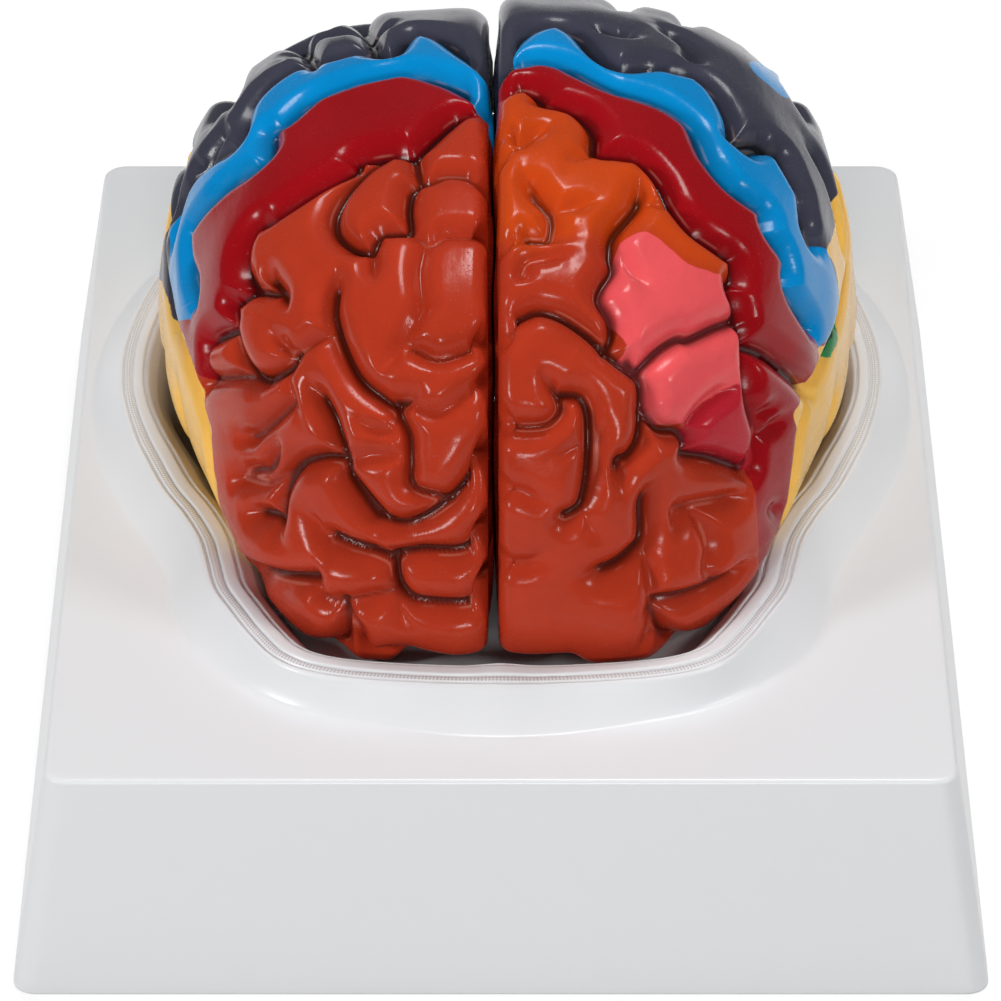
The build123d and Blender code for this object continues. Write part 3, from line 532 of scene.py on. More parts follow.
# Furrows of the brain's right half, traced in the picture
right_traced = [
    [(488, 61), (469, 48), (446, 32), (421, 27), (405, 30), (387, 48), (376, 41), (335, 51), (300, 61),
     (274, 77), (252, 99), (241, 118), (236, 140), (220, 150), (198, 169), (179, 204), (172, 230)],
    [(488, 96), (456, 77), (411, 65), (376, 70), (338, 80), (309, 93), (281, 120), (268, 128),
     (265, 150), (255, 163), (230, 179), (204, 207), (188, 233), (187, 268), (193, 293), (191, 319)],
    [(481, 105), (459, 107), (440, 121), (414, 144), (392, 144), (357, 150), (351, 159), (306, 188),
     (271, 214), (255, 223), (242, 246), (239, 271), (246, 287), (236, 297), (228, 306), (230, 325),
     (207, 338), (204, 354), (204, 383)],
    [(414, 145), (418, 166), (424, 174), (446, 167), (472, 169), (487, 179)],
    [(383, 148), (360, 163), (341, 185), (330, 207), (332, 226), (348, 239), (367, 242), (376, 226),
     (395, 223), (408, 220), (407, 198), (411, 179), (424, 172)],
    [(408, 220), (427, 236), (446, 228), (487, 230)],
    [(322, 244), (344, 242), (367, 242), (371, 265), (370, 287)],
    [(424, 239), (419, 265), (421, 297), (418, 309)],
    [(335, 260), (331, 281), (328, 306), (331, 324), (341, 353), (355, 378), (374, 394), (391, 404),
     (411, 397), (428, 382)],
    [(423, 305), (411, 327), (399, 346), (384, 365), (381, 380)],
    [(242, 287), (271, 289), (265, 277), (277, 293), (287, 316)],
    [(268, 325), (277, 341), (290, 351), (311, 338), (331, 331)],
    [(228, 303), (230, 335), (239, 364), (255, 379), (281, 367), (290, 354)],
    [(205, 379), (236, 377), (258, 380)],
    [(285, 363), (284, 385), (292, 404), (304, 421)],
    [(304, 373), (314, 394), (326, 416), (333, 436), (341, 460), (343, 475), (357, 494), (377, 518)],
    [(382, 341), (401, 345), (416, 348), (440, 356), (487, 339)],
    [(394, 402), (396, 414), (406, 436), (408, 465), (408, 484), (418, 494), (450, 501)],
    [(416, 409), (442, 411), (466, 395), (487, 382)],
    [(350, 416), (370, 428), (389, 431), (394, 421)],
    [(345, 460), (370, 455), (396, 455)],
    [(343, 479), (350, 491), (370, 518), (377, 521), (408, 527), (450, 501), (487, 455)],
    [(229, 438), (248, 437), (263, 424), (285, 403)],
    [(231, 474), (248, 472), (261, 470), (273, 450), (276, 432)],
    [(246, 507), (273, 514), (280, 518), (280, 489), (292, 467), (314, 459), (336, 459)],
    [(297, 506), (314, 521), (328, 540), (331, 545)],
    [(282, 525), (299, 542)],
    [(331, 537), (350, 545), (370, 551), (389, 559), (394, 557), (418, 554), (464, 553), (487, 533)],
    [(394, 559), (394, 569), (401, 588), (423, 602), (476, 602), (488, 581)],
    [(326, 557), (324, 571), (336, 586), (355, 588), (401, 588)],
    [(285, 576), (307, 574), (324, 571)],
    [(350, 588), (355, 605), (355, 625), (345, 642)],
    [(238, 478), (262, 484), (290, 470)],
    [(262, 560), (288, 564), (322, 568)],
    [(355, 596), (367, 613), (370, 627), (384, 639), (411, 644), (430, 653)],
    [(401, 596), (406, 610), (430, 622)],
    [(285, 60), (310, 40), (345, 30), (380, 24)],
    [(195, 165), (215, 140), (225, 120)],
]

# Furrows of the brain's left half, traced in the picture
left_traced = [
    [(499, 62), (502, 46), (518, 28), (541, 19), (564, 19), (582, 28), (595, 43), (608, 54), (623, 60),
     (654, 59), (674, 63), (697, 69), (717, 84), (730, 102), (738, 120), (740, 135), (750, 145),
     (768, 143), (786, 153), (796, 174), (804, 194), (807, 225), (809, 235), (826, 250)],
    [(505, 58), (536, 52), (564, 57), (587, 69), (613, 82), (638, 89), (659, 96), (679, 107),
     (697, 122), (707, 143), (715, 158), (735, 184), (758, 202), (768, 212), (771, 230), (784, 250),
     (791, 270), (790, 286), (801, 306), (814, 327), (818, 347)],
    [(505, 83), (526, 79), (541, 87), (544, 94), (564, 98), (582, 105), (595, 120), (597, 143),
     (618, 147), (643, 153), (664, 174), (674, 194), (684, 209), (699, 227), (725, 247), (738, 258),
     (740, 276), (735, 286), (743, 309), (745, 321), (750, 339), (753, 397), (761, 428), (755, 463)],
    [(505, 126), (518, 138), (539, 125), (556, 115)],
    [(500, 153), (503, 145), (521, 139)],
    [(523, 161), (534, 184), (551, 204), (551, 224), (546, 230), (528, 230)],
    [(551, 204), (569, 201), (605, 195)],
    [(597, 143), (577, 153), (567, 163)],
    [(643, 168), (642, 194), (618, 224), (614, 245), (616, 263), (605, 281), (602, 296), (613, 316),
     (615, 337), (608, 349)],
    [(643, 194), (664, 199), (681, 201)],
    [(502, 242), (508, 235), (549, 231), (582, 232)],
    [(521, 270), (531, 255), (564, 251), (572, 260)],
    [(502, 332), (508, 321), (526, 311), (542, 307), (564, 314), (590, 332), (608, 349), (623, 362),
     (638, 372)],
    [(623, 245), (633, 268), (653, 291)],
    [(643, 370), (664, 349), (684, 337), (697, 337), (722, 326), (743, 319)],
    [(536, 361), (546, 376), (559, 397), (561, 412), (549, 425), (526, 428), (502, 425)],
    [(564, 394), (582, 396), (590, 410), (592, 433), (591, 473), (585, 504), (577, 514), (567, 519)],
    [(605, 402), (602, 435), (600, 473), (592, 499)],
    [(633, 361), (646, 384), (647, 415), (643, 443), (633, 458), (623, 463), (623, 479), (625, 499)],
    [(502, 491), (523, 494), (544, 504), (561, 504)],
    [(551, 458), (582, 445)],
    [(561, 522), (582, 514), (592, 530), (602, 542)],
    [(502, 565), (531, 563), (549, 545)],
    [(572, 574), (608, 568), (633, 553), (646, 537), (648, 504), (656, 484), (664, 476)],
    [(643, 545), (646, 570), (643, 593), (638, 621)],
    [(648, 412), (664, 430), (684, 433), (692, 443), (692, 456), (720, 461), (750, 471)],
    [(692, 422), (710, 402), (730, 389), (743, 389)],
    [(679, 519), (692, 512), (702, 524), (704, 540), (697, 560), (702, 568)],
    [(679, 512), (710, 504), (735, 496), (750, 489)],
    [(648, 588), (679, 581), (710, 568), (725, 558), (740, 545)],
    [(643, 596), (653, 621), (671, 632)],
    [(753, 346), (773, 354), (796, 374), (817, 397)],
    [(761, 415), (784, 405)],
    [(761, 438), (791, 415)],
    [(755, 507), (778, 507)],
    [(640, 25), (620, 30), (585, 15)],
    [(690, 60), (695, 45), (660, 20)],
    [(737, 135), (770, 140), (800, 190), (812, 225)],
]

traced = {"right": right_traced, "left": left_traced}

# Furrows that the picture hides, drawn in side view (y, z) and in back view (distance out, z)
side_drawn = [
    [(-30, 42), (-10, 50), (15, 57), (40, 66), (62, 78), (66, 90)],
    [(-25, 31), (0, 37), (25, 44), (50, 53), (72, 62)],
    [(14, 84), (22, 95), (26, 106)],
    [(24, 80), (32, 92), (44, 91), (50, 80)],
    [(34, 104), (48, 104), (60, 97), (72, 97)],
    [(56, 88), (66, 90), (74, 84)],
    [(-12, 31), (-8, 44), (-14, 58), (-8, 68)],
    [(12, 38), (16, 50), (10, 64)],
    [(32, 45), (28, 57), (34, 70)],
    [(52, 54), (54, 66)],
    [(68, 66), (74, 76), (80, 80)],
    [(78, 52), (82, 64), (80, 74)],
]
back_drawn = [
    [(3, 98), (16, 96), (28, 92), (38, 96)],
    [(6, 80), (20, 78), (34, 83), (46, 78)],
    [(4, 66), (14, 64), (26, 68), (40, 62), (52, 66)],
    [(16, 52), (30, 55), (44, 51)],
    [(8, 112), (18, 108), (30, 111), (42, 104)],
    [(22, 122), (24, 110)],
    [(34, 119), (36, 108)],
    [(50, 108), (47, 97), (54, 88)],
]


def underside_level(out, y):
    """Height at which the underside flattens: frontal shelf, temporal lobe, and the roof over the
    cerebellum, joined by eased steps along y, and rising to the roof over the stem near the middle."""
    shelf, temporal, stem_roof = 46.5, 19.0, 52.0
    pole_y = -46.0 + 14.0 * (1.0 - ramp(out, 16.0, 32.0))
    along = shelf + (temporal - shelf) * (ramp(y, pole_y, pole_y + 12.0) - ramp(y, 4.0, 20.0))
    return stem_roof + (along - stem_roof) * ramp(out, 14.0, 21.0)


def form_value(side, out, dy, dz):
    """Sum of the three distances from the middle, each as a share of its reach and raised to the
    fullness: 1 on the superellipsoid, less inside it."""
    reach_y = np.where(dy < 0, front_reach, back_reach)
    reach_z = np.where(dz > 0, crown_height[side], underside_reach)
    return ((np.abs(out) / half_width[side]) ** fullness + (np.abs(dy) / reach_y) ** fullness
            + (np.abs(dz) / reach_z) ** fullness)


def keel_share(z):
    """How much of its width the form keeps at a height, less towards the keel."""
    return 1.0 - keel_narrowing * ramp(-z, -64.0, -30.0)


def hemisphere_point(side, swing, turn):
    """Point of the form, by angles in degrees: swing 0 at the medial face to 90 at the pole in the
    side, turn 0 at the brow, 90 at the crown, 180 at the back. A ray from the middle is cut at the
    superellipsoid, drawn in along the rounded medial edge, widened towards the back, flattened
    below, and narrowed to the keel."""
    swing, turn = np.broadcast_arrays(np.radians(swing), np.radians(turn))
    out = np.sin(swing)
    dy = np.sin(swing) * sylvian_pole[0] - np.cos(swing) * np.cos(turn)
    dz = np.sin(swing) * sylvian_pole[1] + np.cos(swing) * np.sin(turn)
    size = form_value(side, out, dy, dz) ** (-1.0 / fullness)
    out, dy, dz = out * size, dy * size, dz * size
    edge = np.clip(medial_edge_radius - out, 0.0, medial_edge_radius)
    shrink = 1.0 - (medial_edge_radius - np.sqrt(medial_edge_radius ** 2 - edge ** 2)) / np.hypot(dy, dz)
    dy, dz = dy * shrink, dz * shrink
    out = out * (1.0 + widening * dy)
    depth = np.maximum(-dz, 0.0)
    limit = brain_mid[2] - underside_level(out, brain_mid[1] + dy)
    z = brain_mid[2] + np.where(dz < 0, -depth / (1.0 + (depth / limit) ** 8) ** 0.125, dz)
    x = brain_mid[0] + side_sign[side] * (fissure_half_gap + out * keel_share(z))
    return np.stack([x, brain_mid[1] + dy, z], axis=-1)


def counted_on(turn):
    """A turn in degrees, brought between -125 and 235."""
    return np.where(turn < -125.0, turn + 360.0, turn)


def form_angles(out, dy, dz):
    """Swing and turn in degrees of a point given from the form's middle."""
    dy, dz = dy - sylvian_pole[0] * out, dz - sylvian_pole[1] * out
    return np.degrees(np.arctan2(out, np.hypot(dy, dz))), counted_on(np.degrees(np.arctan2(dz, -dy)))


def seen_line(side, pixels, closed=False):
    """Swings and turns of a smooth line through places in the picture: each line of sight is followed
    in half-millimetre steps to where it enters the form, and the last step is cut in proportion."""
    pixels = smooth_line(pixels, 6, closed)
    across = (pixels[:, 0] - view_centre[0])[:, None]
    above = (view_centre[1] - pixels[:, 1])[:, None]
    forward = np.array([0.0, np.cos(view_tilt), -np.sin(view_tilt)])
    upward = np.array([0.0, np.sin(view_tilt), np.cos(view_tilt)])
    sight = view_focal * forward + across * [1.0, 0.0, 0.0] + above * upward
    sight /= np.linalg.norm(sight, axis=1)[:, None]
    reach_of = np.linspace(1050.0, 1420.0, 741)
    points = view_eye + reach_of[None, :, None] * sight[:, None, :]
    out = side_sign[side] * (points[..., 0] - brain_mid[0]) - fissure_half_gap
    dy, dz = points[..., 1] - brain_mid[1], points[..., 2] - brain_mid[2]
    out = np.maximum(out, 0.0) / (1.0 + widening * dy) / keel_share(points[..., 2])
    level = form_value(side, out, dy, dz)
    hit = level < 1.0
    first = np.where(hit.any(axis=1), np.maximum(np.argmax(hit, axis=1), 1), np.argmin(level, axis=1))
    rows = np.arange(len(pixels))
    after, before = level[rows, first], level[rows, first - 1]
    back = hit.any(axis=1) * np.clip((1.0 - after) / np.maximum(before - after, 1e-9), 0.0, 1.0)
    return form_angles(*[grid[rows, first] + (grid[rows, first - 1] - grid[rows, first]) * back
                         for grid in (out, dy, dz)])


def drawn_line(side, points, view):
    """Swings and turns of a smooth line drawn in side view, as (y, z), or in back view, as (out, z):
    the missing distance is the one that puts the form's value at 1."""
    points = smooth_line(points, 6)
    dz = points[:, 1] - brain_mid[2]
    up = (np.abs(dz) / np.where(dz > 0, crown_height[side], underside_reach)) ** fullness
    if view == "side":
        dy = points[:, 0] - brain_mid[1]
        rest = 1.0 - (np.abs(dy) / np.where(dy < 0, front_reach, back_reach)) ** fullness - up
        return form_angles(half_width[side] * np.maximum(rest, 0.0) ** (1.0 / fullness), dy, dz)
    out = points[:, 0]
    rest = 1.0 - (out / half_width[side]) ** fullness - up
    return form_angles(out, back_reach * np.maximum(rest, 0.0) ** (1.0 / fullness), dz)


def cut_turns(swing):
    """Turns of the front and back edge of the cut between upper and lower piece, at a swing."""
    front = np.interp(swing, [0, 12, 20, 29, 45, 56, 62, 70, 80, 90],
                      [-70, -62, -50, -41, -34, -22, -8, 0, 4, 4])
    return front, np.interp(swing, [0, 40, 70, 90], [159, 163, 172, 176])


def line_distance(points, line):
    """Distance of each point to a polyline, and how far along it, in knots, the nearest place is."""
    start, step = line[:-1], np.diff(line, axis=0)
    from_start = points[:, None, :] - start
    share = (from_start * step).sum(axis=2) / np.maximum((step ** 2).sum(axis=1), 1e-12)
    share = np.clip(share, 0.0, 1.0)
    gap = np.linalg.norm(from_start - share[..., None] * step, axis=2)
    nearest = np.argmin(gap, axis=1)
    rows = np.arange(len(points))
    return gap[rows, nearest], nearest + share[rows, nearest]


def near_box(points, line, margin):
    """Numbers of the points within a margin of a line's box."""
    low, high = line.min(axis=0) - margin, line.max(axis=0) + margin
    return np.flatnonzero(((points > low) & (points < high)).all(axis=1))


def half_furrows(side):
    """Every furrow of one half as (line on the form, strength along it, depth, half width). A free
    end, 3 mm from other furrows and 4 degrees from the fissure, fades out over 7 mm. A furrow shorter
    than 28 mm is shallower. The last two are the edges of the cut between the pieces."""
    angles = [seen_line(side, line) for line in traced[side]]
    angles += [drawn_line(side, line, "side") for line in side_drawn]
    angles += [drawn_line(side, line, "back") for line in back_drawn]
    lines = [hemisphere_point(side, *pair) for pair in angles]
    made = []
    for number, line in enumerate(lines):
        others = np.concatenate(lines[:number] + lines[number + 1:])
        run = np.concatenate([[0.0], np.cumsum(np.linalg.norm(np.diff(line, axis=0), axis=1))])
        strength = np.ones(len(line))
        for place, from_end in ((0, run), (-1, run[-1] - run)):
            nearest = np.linalg.norm(others - line[place], axis=1).min()
            if nearest >= 3.0 and angles[number][0][place] >= 4.0:
                strength *= 0.1 + 0.9 * ramp(from_end, 0.0, 7.0)
        size = np.clip(run[-1] / 28.0, 0.55, 1.0)
        made.append((line, strength, furrow_depth * size, furrow_half_width * (0.45 + 0.55 * size)))
    swing = np.linspace(0.0, 90.0, 90)
    for turn in cut_turns(swing):
        made.append((hemisphere_point(side, swing, turn), np.ones(90), 2.4, 4.6))
    return made


def furrow_sink(points, furrows):
    """How deep each point lies below the form. Across a furrow the surface falls as a quarter circle
    does towards its end, so two swollen folds meet in a narrow valley, rounded over three quarters
    of a millimetre. Where furrows meet, the sixth root of the sum of sixth powers joins them
    without a step."""
    total = np.zeros(len(points))
    rounding = 0.75
    for line, strength, depth, width in furrows:
        near = near_box(points, line, width)
        if len(near) == 0:
            continue
        gap, place = line_distance(points[near], line)
        depth_here = depth * np.interp(place, np.arange(len(line)), strength)
        rise = 1.0 - np.clip(np.hypot(gap, rounding) / width, 0.0, 1.0)
        bottom = 1.0 - np.sqrt(1.0 - (1.0 - rounding / width) ** 2)
        total[near] += (depth_here * (1.0 - np.sqrt(1.0 - rise ** 2)) / bottom) ** 6
    return total ** (1.0 / 6.0)


def swell(points):
    """Slow unevenness of the folds, 0 to 0.7 mm deep: three crossed waves 16 to 31 mm long."""
    x, y, z = points[..., 0], points[..., 1], points[..., 2]
    wave = (np.sin(0.31 * x + 0.13 * y + 1.0) + np.sin(0.27 * y - 0.21 * z + 2.0)
            + np.sin(0.38 * z + 0.1 * x + 0.5))
    return 0.35 - 0.115 * wave


def brow_bulge(points):
    """Shift that fills the lobes out towards the lip of the cavity, away from the middle in plan and
    easing to nothing upwards: 3 mm at the frontal poles, 7.6 mm at the corners beside them, and
    1.2 mm at the temporal lobes."""
    x, y, z = points[..., 0] - brain_mid[0], points[..., 1] - brain_mid[1], points[..., 2]
    size = 3.0 * ramp(-y, 32.0, 58.0) + 4.6 * ramp(np.abs(x), 12.0, 28.0) * ramp(-y, 50.0, 70.0)
    beside = ramp(np.abs(x), 38.0, 56.0) * ramp(y, -28.0, -8.0) * (1.0 - ramp(y, 15.0, 50.0))
    size = np.maximum(size, 1.2 * beside * ramp(z, 40.0, 52.0))
    size = size * (1.0 - ramp(z, 56.0, 80.0)) / np.hypot(x, y)
    return np.stack([x * size * ramp(np.abs(x), 0.0, 12.0), y * size, 0.0 * z], axis=-1)


def lobe_rows(side, starts, ends, swing, turn_count, boss=None):
    """Rows of one moulding: for each swing the form's points from one edge of the cut to the other,
    closed by a chord across the cut. Along the surface's own direction they move out by 0.9 mm, less
    at the crown, and in by furrow and swell. Towards the medial plane the first ring shrinks to its
    middle, with waves of 0.4 mm, and boss may raise the face there. Returns the rows, the same rows
    before they moved, the depths, and the swings and turns."""
    turn = starts[:, None] + (ends - starts)[:, None] * np.linspace(0.0, 1.0, turn_count)
    swings = np.broadcast_to(swing[:, None], turn.shape)
    form = hemisphere_point(side, swings, turn)
    across = np.cross(np.gradient(form, axis=0), np.gradient(form, axis=1))
    across /= np.maximum(np.linalg.norm(across, axis=2), 1e-12)[..., None]
    across *= np.sign(((form - brain_mid) * across).sum(axis=2).mean())
    across[0, :, 0] = 0.0
    across[0] /= np.linalg.norm(across[0], axis=1)[:, None]
    depth = furrow_sink(form.reshape(-1, 3), half_furrows(side)).reshape(turn.shape)
    fullness_out = 0.9 * (1.0 - ramp(form[..., 2], 112.0, 124.0)) - swell(form)
    points = form + across * (fullness_out * ramp(swings, 0.0, 6.0) - depth)[..., None] + brow_bulge(form)
    share = np.linspace(0.0, 1.0, chord_count + 2)[1:-1, None]
    rings = np.concatenate([points, points[:, -1:] + (points[:, :1] - points[:, -1:]) * share], axis=1)

    def with_chord(values):
        """Adds to each row the nearer end's value for each point of the chord."""
        count = chord_count // 2
        return np.concatenate([values] + [values[:, -1:]] * count + [values[:, :1]] * count, axis=1)

    middle = rings[0].mean(axis=0)
    cap_share = np.concatenate([[0.02], np.linspace(0.06, 0.94, cap_count - 2), [0.975]])
    cap = middle + (rings[0] - middle) * cap_share[:, None, None]
    inner = (1.0 - ramp(cap_share, 0.84, 0.96))[:, None]
    raised = medial_raise * inner
    if boss is not None:
        raised = np.maximum(raised, boss(cap[..., 1], cap[..., 2]))
    wave = 0.4 * np.sin(0.16 * cap[..., 1]) * np.sin(0.12 * cap[..., 2])
    cap[..., 0] += wave * inner - side_sign[side] * raised
    kept = [np.concatenate([np.repeat(values[:1], cap_count, axis=0), values])
            for values in (with_chord(form), with_chord(depth), with_chord(swings), with_chord(turn))]
    return np.concatenate([cap, rings]), *kept


def area_field(side, form, swings, turns, border, closing):
    """Signed distance in mm to a painted area's border, up to field_limit, positive inside. The
    border is a line of places (swing, turn) on the form. Inside is told, in swing and turn, by how
    often a ray towards greater turns crosses the border and the closing places after it."""
    line = hemisphere_point(side, *border)
    flat = form.reshape(-1, 3)
    gap = np.full(len(flat), field_limit)
    near = near_box(flat, line, field_limit)
    for part in np.array_split(near, 1 + len(near) // 8000):
        if len(part):
            gap[part] = np.minimum(line_distance(flat[part], line)[0], field_limit)
    corner = np.concatenate([np.stack(border, axis=1), np.array(closing, float).reshape(-1, 2)])
    at, up = swings.ravel(), counted_on(turns.ravel())
    inside = np.zeros(len(flat), bool)
    for (s0, t0), (s1, t1) in zip(corner, np.roll(corner, -1, axis=0)):
        if s0 != s1:
            inside ^= ((s0 > at) != (s1 > at)) & (up < t0 + (at - s0) / (s1 - s0) * (t1 - t0))
    return np.where(inside, gap, -gap).reshape(swings.shape)


def area_border(side, pixels, beyond=(), whole=False):
    """Border through places in the picture, on the form. A whole area closes on itself, and a place
    of it at the fissure moves past the edge. Otherwise the line starts past the fissure and goes on
    through hidden places, given as (swing, turn)."""
    swing, turn = seen_line(side, pixels, closed=whole)
    if whole:
        swing = np.where(swing < 0.8, -5.0, swing)
        return np.append(swing, swing[0]), np.append(turn, turn[0])
    start = [-5.0] if swing[0] < 5.0 else []
    swing = np.concatenate([start, swing, [place[0] for place in beyond]])
    return swing, np.concatenate([turn[:len(start)], turn, [place[1] for place in beyond]])


def painted_fields(side, form, swings, turns):
    """Signed distances to the border of every painted area of one half, by name."""
    fields = {}
    parietal, sensory, motor = traced[side][:3]
    for name, line, beyond in (("parietal", parietal, []), ("sensory", sensory, []),
                               ("motor", motor + motor_more[side], motor_beyond[side])):
        border = area_border(side, line, beyond)
        closing = [(95.0, border[1][-1]), (95.0, 420.0), (-5.0, 420.0)]
        fields[name] = area_field(side, form, swings, turns, border, closing)
    border = area_border(side, temporal_edge[side])
    fields["temporal"] = area_field(side, form, swings, turns, border, temporal_closing)
    sight = np.array(sight_border).T
    fields["sight"] = area_field(side, form, swings, turns, (sight[0], sight[1]), [])
    if side == "left":
        for name, pixels in left_areas.items():
            fields[name] = area_field(side, form, swings, turns, area_border(side, pixels, whole=True), [])
        pit = area_field(side, form, swings, turns, seen_line(side, hearing_line), [])
        fields["hearing"] = hearing_reach - np.abs(pit)
        # The dark middle of the ear pit is painted shade where the pit is not moulded.
        fields["ear_pit_shade"] = ear_pit_reach - np.abs(pit)
    return fields


def keep_values(piece, name, values):
    """Stores a value for each point of a row mesh. The first and last point take their row's mean."""
    data = np.concatenate([[values[0].mean()], values.ravel(), [values[-1].mean()]]).astype(np.float32)
    piece.data.attributes.new(name, "FLOAT", "POINT").data.foreach_set("value", data)


def field(tree, name):
    """A stored value as a socket."""
    return node(tree, "ShaderNodeAttribute", attribute_name=name).outputs["Fac"]


def inside_area(tree, name, soft):
    """1 inside a painted area and 0 outside, with an edge that wanders as a brush does."""
    place = node(tree, "ShaderNodeTexCoord").outputs["Object"]
    wander = calc(tree, "MULTIPLY", calc(tree, "SUBTRACT", noise(tree, place, 330.0), 0.5), 1.2)
    return eased(tree, calc(tree, "ADD", field(tree, name), wander), -soft, soft)


def lobe_colour(side):
    """Colour of one half's paint: each area laid over the one before it."""
    def colour_of(tree):
        colour = paint(*frontal_paint)
        for name, rgb in lobe_paints[side]:
            colour = mixed(tree, inside_area(tree, name, softer.get(name, 0.16)), colour, paint(*rgb))
        return colour
    return colour_of


def painted_piece(name, side, starts, ends, shift, turn_count, boss=None):
    """One moulding of the brain as a mesh with its painted areas and creases stored on it."""
    rows, form, depth, swings, turns = lobe_rows(side, starts, ends, piece_swings, turn_count, boss)
    rows = rows + shift
    piece = row_mesh(name, rows, rows[0].mean(axis=0), rows[-1].mean(axis=0))
    keep_values(piece, "crease", depth / furrow_depth)
    for label, values in painted_fields(side, form, swings, turns).items():
        keep_values(piece, label, values)
    piece.data.materials.append(lobe_enamel[side])
    return piece


furrow_depth = 4.4
furrow_half_width = 5.9
chord_count = 14
cap_count = 16
medial_raise = 0.75
piece_swings = np.concatenate([[0, 0.25, 0.6, 1.0, 1.5, 2.1, 2.8, 3.6], np.linspace(4.1, 89.2, 196)])
frontal_paint = (184, 56, 31)
motor_more = {"right": [], "left": [(750, 489), (745, 520), (740, 545), (735, 570)]}
motor_beyond = {"right": [], "left": [(46.0, -60.0)]}
temporal_edge = {
    "right": [(161, 262), (166, 285), (169, 300), (172, 318), (178, 327), (186, 335), (188, 350), (198, 380),
              (205, 404), (214, 428), (215, 452), (224, 480)],
    "left": [(830, 152), (834, 175), (836, 195), (835, 215), (832, 235), (826, 250), (833, 268), (836, 293),
             (835, 306), (827, 339), (818, 348), (818, 355), (816, 378), (793, 410), (793, 429), (787, 465),
             (780, 507)]}
temporal_closing = [(45.0, -34.0), (29.0, -41.0), (20.0, -50.0), (12.0, -62.0), (0.0, -70.0), (-5.0, -70.0),
                    (-5.0, -130.0), (95.0, -130.0), (95.0, 240.0), (-5.0, 240.0), (-5.0, 159.0), (0.0, 159.0),
                    (40.0, 163.0), (62.0, 170.0)]
left_areas = {
    "premotor": [(504, 80), (590, 95), (600, 140), (640, 160), (672, 196), (690, 228), (735, 265),
                 (733, 283), (710, 273), (689, 265), (669, 247), (646, 230), (623, 236), (600, 232),
                 (560, 235), (504, 238)],
    "speech": [(623, 238), (646, 230), (669, 247), (689, 265), (710, 273), (733, 283), (743, 319), (750, 351),
               (743, 389), (710, 402), (692, 422), (659, 425), (648, 412), (646, 384), (623, 362), (628, 342),
               (602, 296), (616, 263)],
    "mouth": [(692, 422), (730, 389), (743, 389), (761, 428), (755, 471), (720, 461), (692, 450)],
    "body": [(750, 63), (769, 67), (789, 92), (784, 99), (765, 84), (751, 71)]}
hearing_line = [(838, 313), (836, 330), (829, 344)]
sight_border = [(-5.0, 157.0), (34.0, 160.0), (42.0, 172.0), (40.0, 190.0), (30.0, 205.0), (-5.0, 208.0)]
hearing_reach, ear_pit_reach, field_limit = 2.7, 1.1, 6.0

# Paints in the order in which they are laid on, and the borders that are softer than the others
blue, yellow, green = (0, 142, 212), (254, 198, 94), (60, 150, 90)
shared_paints = [("motor", (158, 10, 20)), ("sensory", blue), ("parietal", (66, 66, 80))]
lobe_paints = {
    "right": [*shared_paints, ("temporal", yellow), ("sight", green)],
    "left": [("premotor", (206, 72, 20)), *shared_paints, ("body", blue), ("speech", (240, 90, 94)),
             ("mouth", (188, 34, 48)), ("temporal", yellow), ("sight", green), ("hearing", green),
             # The dark green of the ear pit is painted shade standing for the pit.
             ("ear_pit_shade", (20, 50, 25))]}
softer = {"premotor": 4.5, "mouth": 0.3, "ear_pit_shade": 0.3}
lobe_enamel = {side: enamel_material(side + "_lobe_enamel", lobe_colour(side),
                                     lambda tree: field(tree, "crease")) for side in ("left", "right")}
for side in ("left", "right"):
    front, back = cut_turns(piece_swings)
    piece = painted_piece(side + "_temporal_lobe", side, front, back - 360.0, joint_shift, 200)
    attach(piece, "root")
    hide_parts(side + "_temporo_occipital")


# Midline pins: two turned steel pins pushed into bores in the medial faces, so that the halves sit
# level with each other.
pin_steel, tree, shader = new_material("turned_pin_steel", 0.3, 0.5)
place = node(tree, "ShaderNodeTexCoord").outputs["Object"]
turned = node(tree, "ShaderNodeMapping", {"Vector": place, "Scale": (1.0, 0.05, 0.05)}).outputs[0]
marks = noise(tree, turned, 9000.0, 2.0)
steel = mixed(tree, marks, paint(150, 150, 152), paint(205, 205, 208))
link_all(tree, shader, {"Base Color": steel, "Roughness": eased(tree, marks, 0.3, 0.7, 0.22, 0.38)})
shader.inputs["Metallic"].default_value = 1.0
coat("midline_pins", pin_steel)


# Frontal and parietal lobes: one hollow moulding for each half with the cut edge of the corpus
# callosum raised on its medial face, painted by area. It lies on the temporal piece and on the shelf
# at the front of the cavity.
def callosum(y, z):
    """Raised band on the medial face: within 3.2 mm of an arc of radius 38 mm, with eased sides."""
    dy, dz = y - arc_middle[0], z - arc_middle[1]
    angle = np.degrees(np.arctan2(dz, dy))
    off_arc = np.abs(np.hypot(dy, dz) - arc_radius)
    return 0.8 * (1.0 - ramp(off_arc, 2.6, 3.8)) * ramp(angle, 44.0, 52.0) * (1.0 - ramp(angle, 151.0, 159.0))


arc_middle, arc_radius = (8.4, 54.0), 38.0
for side in ("left", "right"):
    front, back = cut_turns(piece_swings)
    piece = painted_piece(side + "_frontal_lobe", side, front, back, 0.0, 372, callosum)
    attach(piece, "root")
    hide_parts(side + "_fronto_parietal")


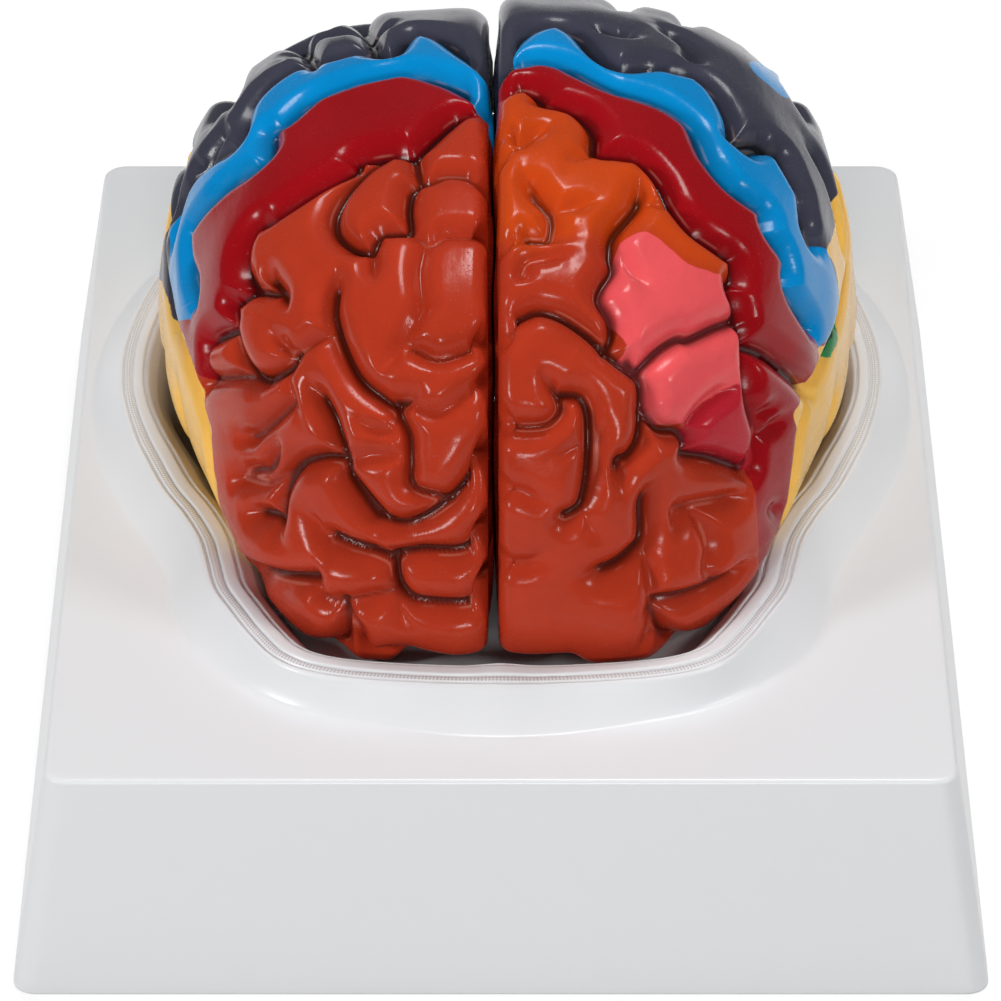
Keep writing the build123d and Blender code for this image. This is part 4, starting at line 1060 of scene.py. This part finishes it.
# Studio: a white floor that keeps the shadow, soft lamps on both sides and above, and the camera in
# front of the base, looking down at it.
floor_mesh = bpy.data.meshes.new("floor")
floor_mesh.from_pydata([(-8, -8, 0), (8, -8, 0), (8, 8, 0), (-8, 8, 0)], [], [(0, 1, 2, 3)])
floor = bpy.data.objects.new("floor", floor_mesh)
bpy.context.scene.collection.objects.link(floor)
floor_white, tree, shader = new_material("floor_white", 0.9, 0.0)
ray = node(tree, "ShaderNodeLightPath")
seen = ray.outputs["Is Camera Ray"]
for kind in ("Is Glossy Ray", "Is Transmission Ray"):
    seen = calc(tree, "MAXIMUM", seen, ray.outputs[kind])
shader.inputs["Base Color"].default_value = (0.5, 0.5, 0.5, 1.0)
shader.inputs["Emission Color"].default_value = (1.0, 1.0, 1.0, 1.0)
tree.links.new(calc(tree, "MULTIPLY", seen, 0.62), shader.inputs["Emission Strength"])
floor_mesh.materials.append(floor_white)

world = bpy.data.worlds.new("studio")
bpy.context.scene.world = world
world.use_nodes = True
world.node_tree.nodes["Background"].inputs["Color"].default_value = (1.0, 1.0, 1.0, 1.0)
world.node_tree.nodes["Background"].inputs["Strength"].default_value = 0.15

lamp_target = Vector((0.0, 0.0, 0.05))
for name, place, size, power in (("key_lamp", (-1.25, -0.7, 0.75), (0.28, 0.22), 8.8),
                                 ("fill_lamp", (1.1, -0.5, 0.9), (0.28, 0.22), 5.0),
                                 ("top_lamp", (0.1, 0.5, 1.4), (0.4, 0.3), 8.3),
                                 ("front_lamp", (0.0, -1.7, 0.75), (0.35, 0.22), 8.6)):
    light = bpy.data.lights.new(name, "AREA")
    light.shape = "RECTANGLE"
    light.size, light.size_y = size
    light.energy = power
    lamp = bpy.data.objects.new(name, light)
    lamp.location = place
    lamp.rotation_euler = (lamp_target - lamp.location).to_track_quat("-Z", "Y").to_euler()
    bpy.context.scene.collection.objects.link(lamp)

camera = bpy.data.objects.new("camera", bpy.data.cameras.new("camera"))
camera.data.sensor_width = 36.0
camera.data.lens = 219.99
camera.data.shift_x = -0.0005
camera.data.clip_start, camera.data.clip_end = 0.05, 60.0
camera.location = view_eye * 0.001
camera.rotation_euler = (np.pi / 2 - view_tilt, 0.0, 0.0)
bpy.context.scene.collection.objects.link(camera)
bpy.context.scene.camera = camera
bpy.context.scene.view_settings.view_transform = "Standard"
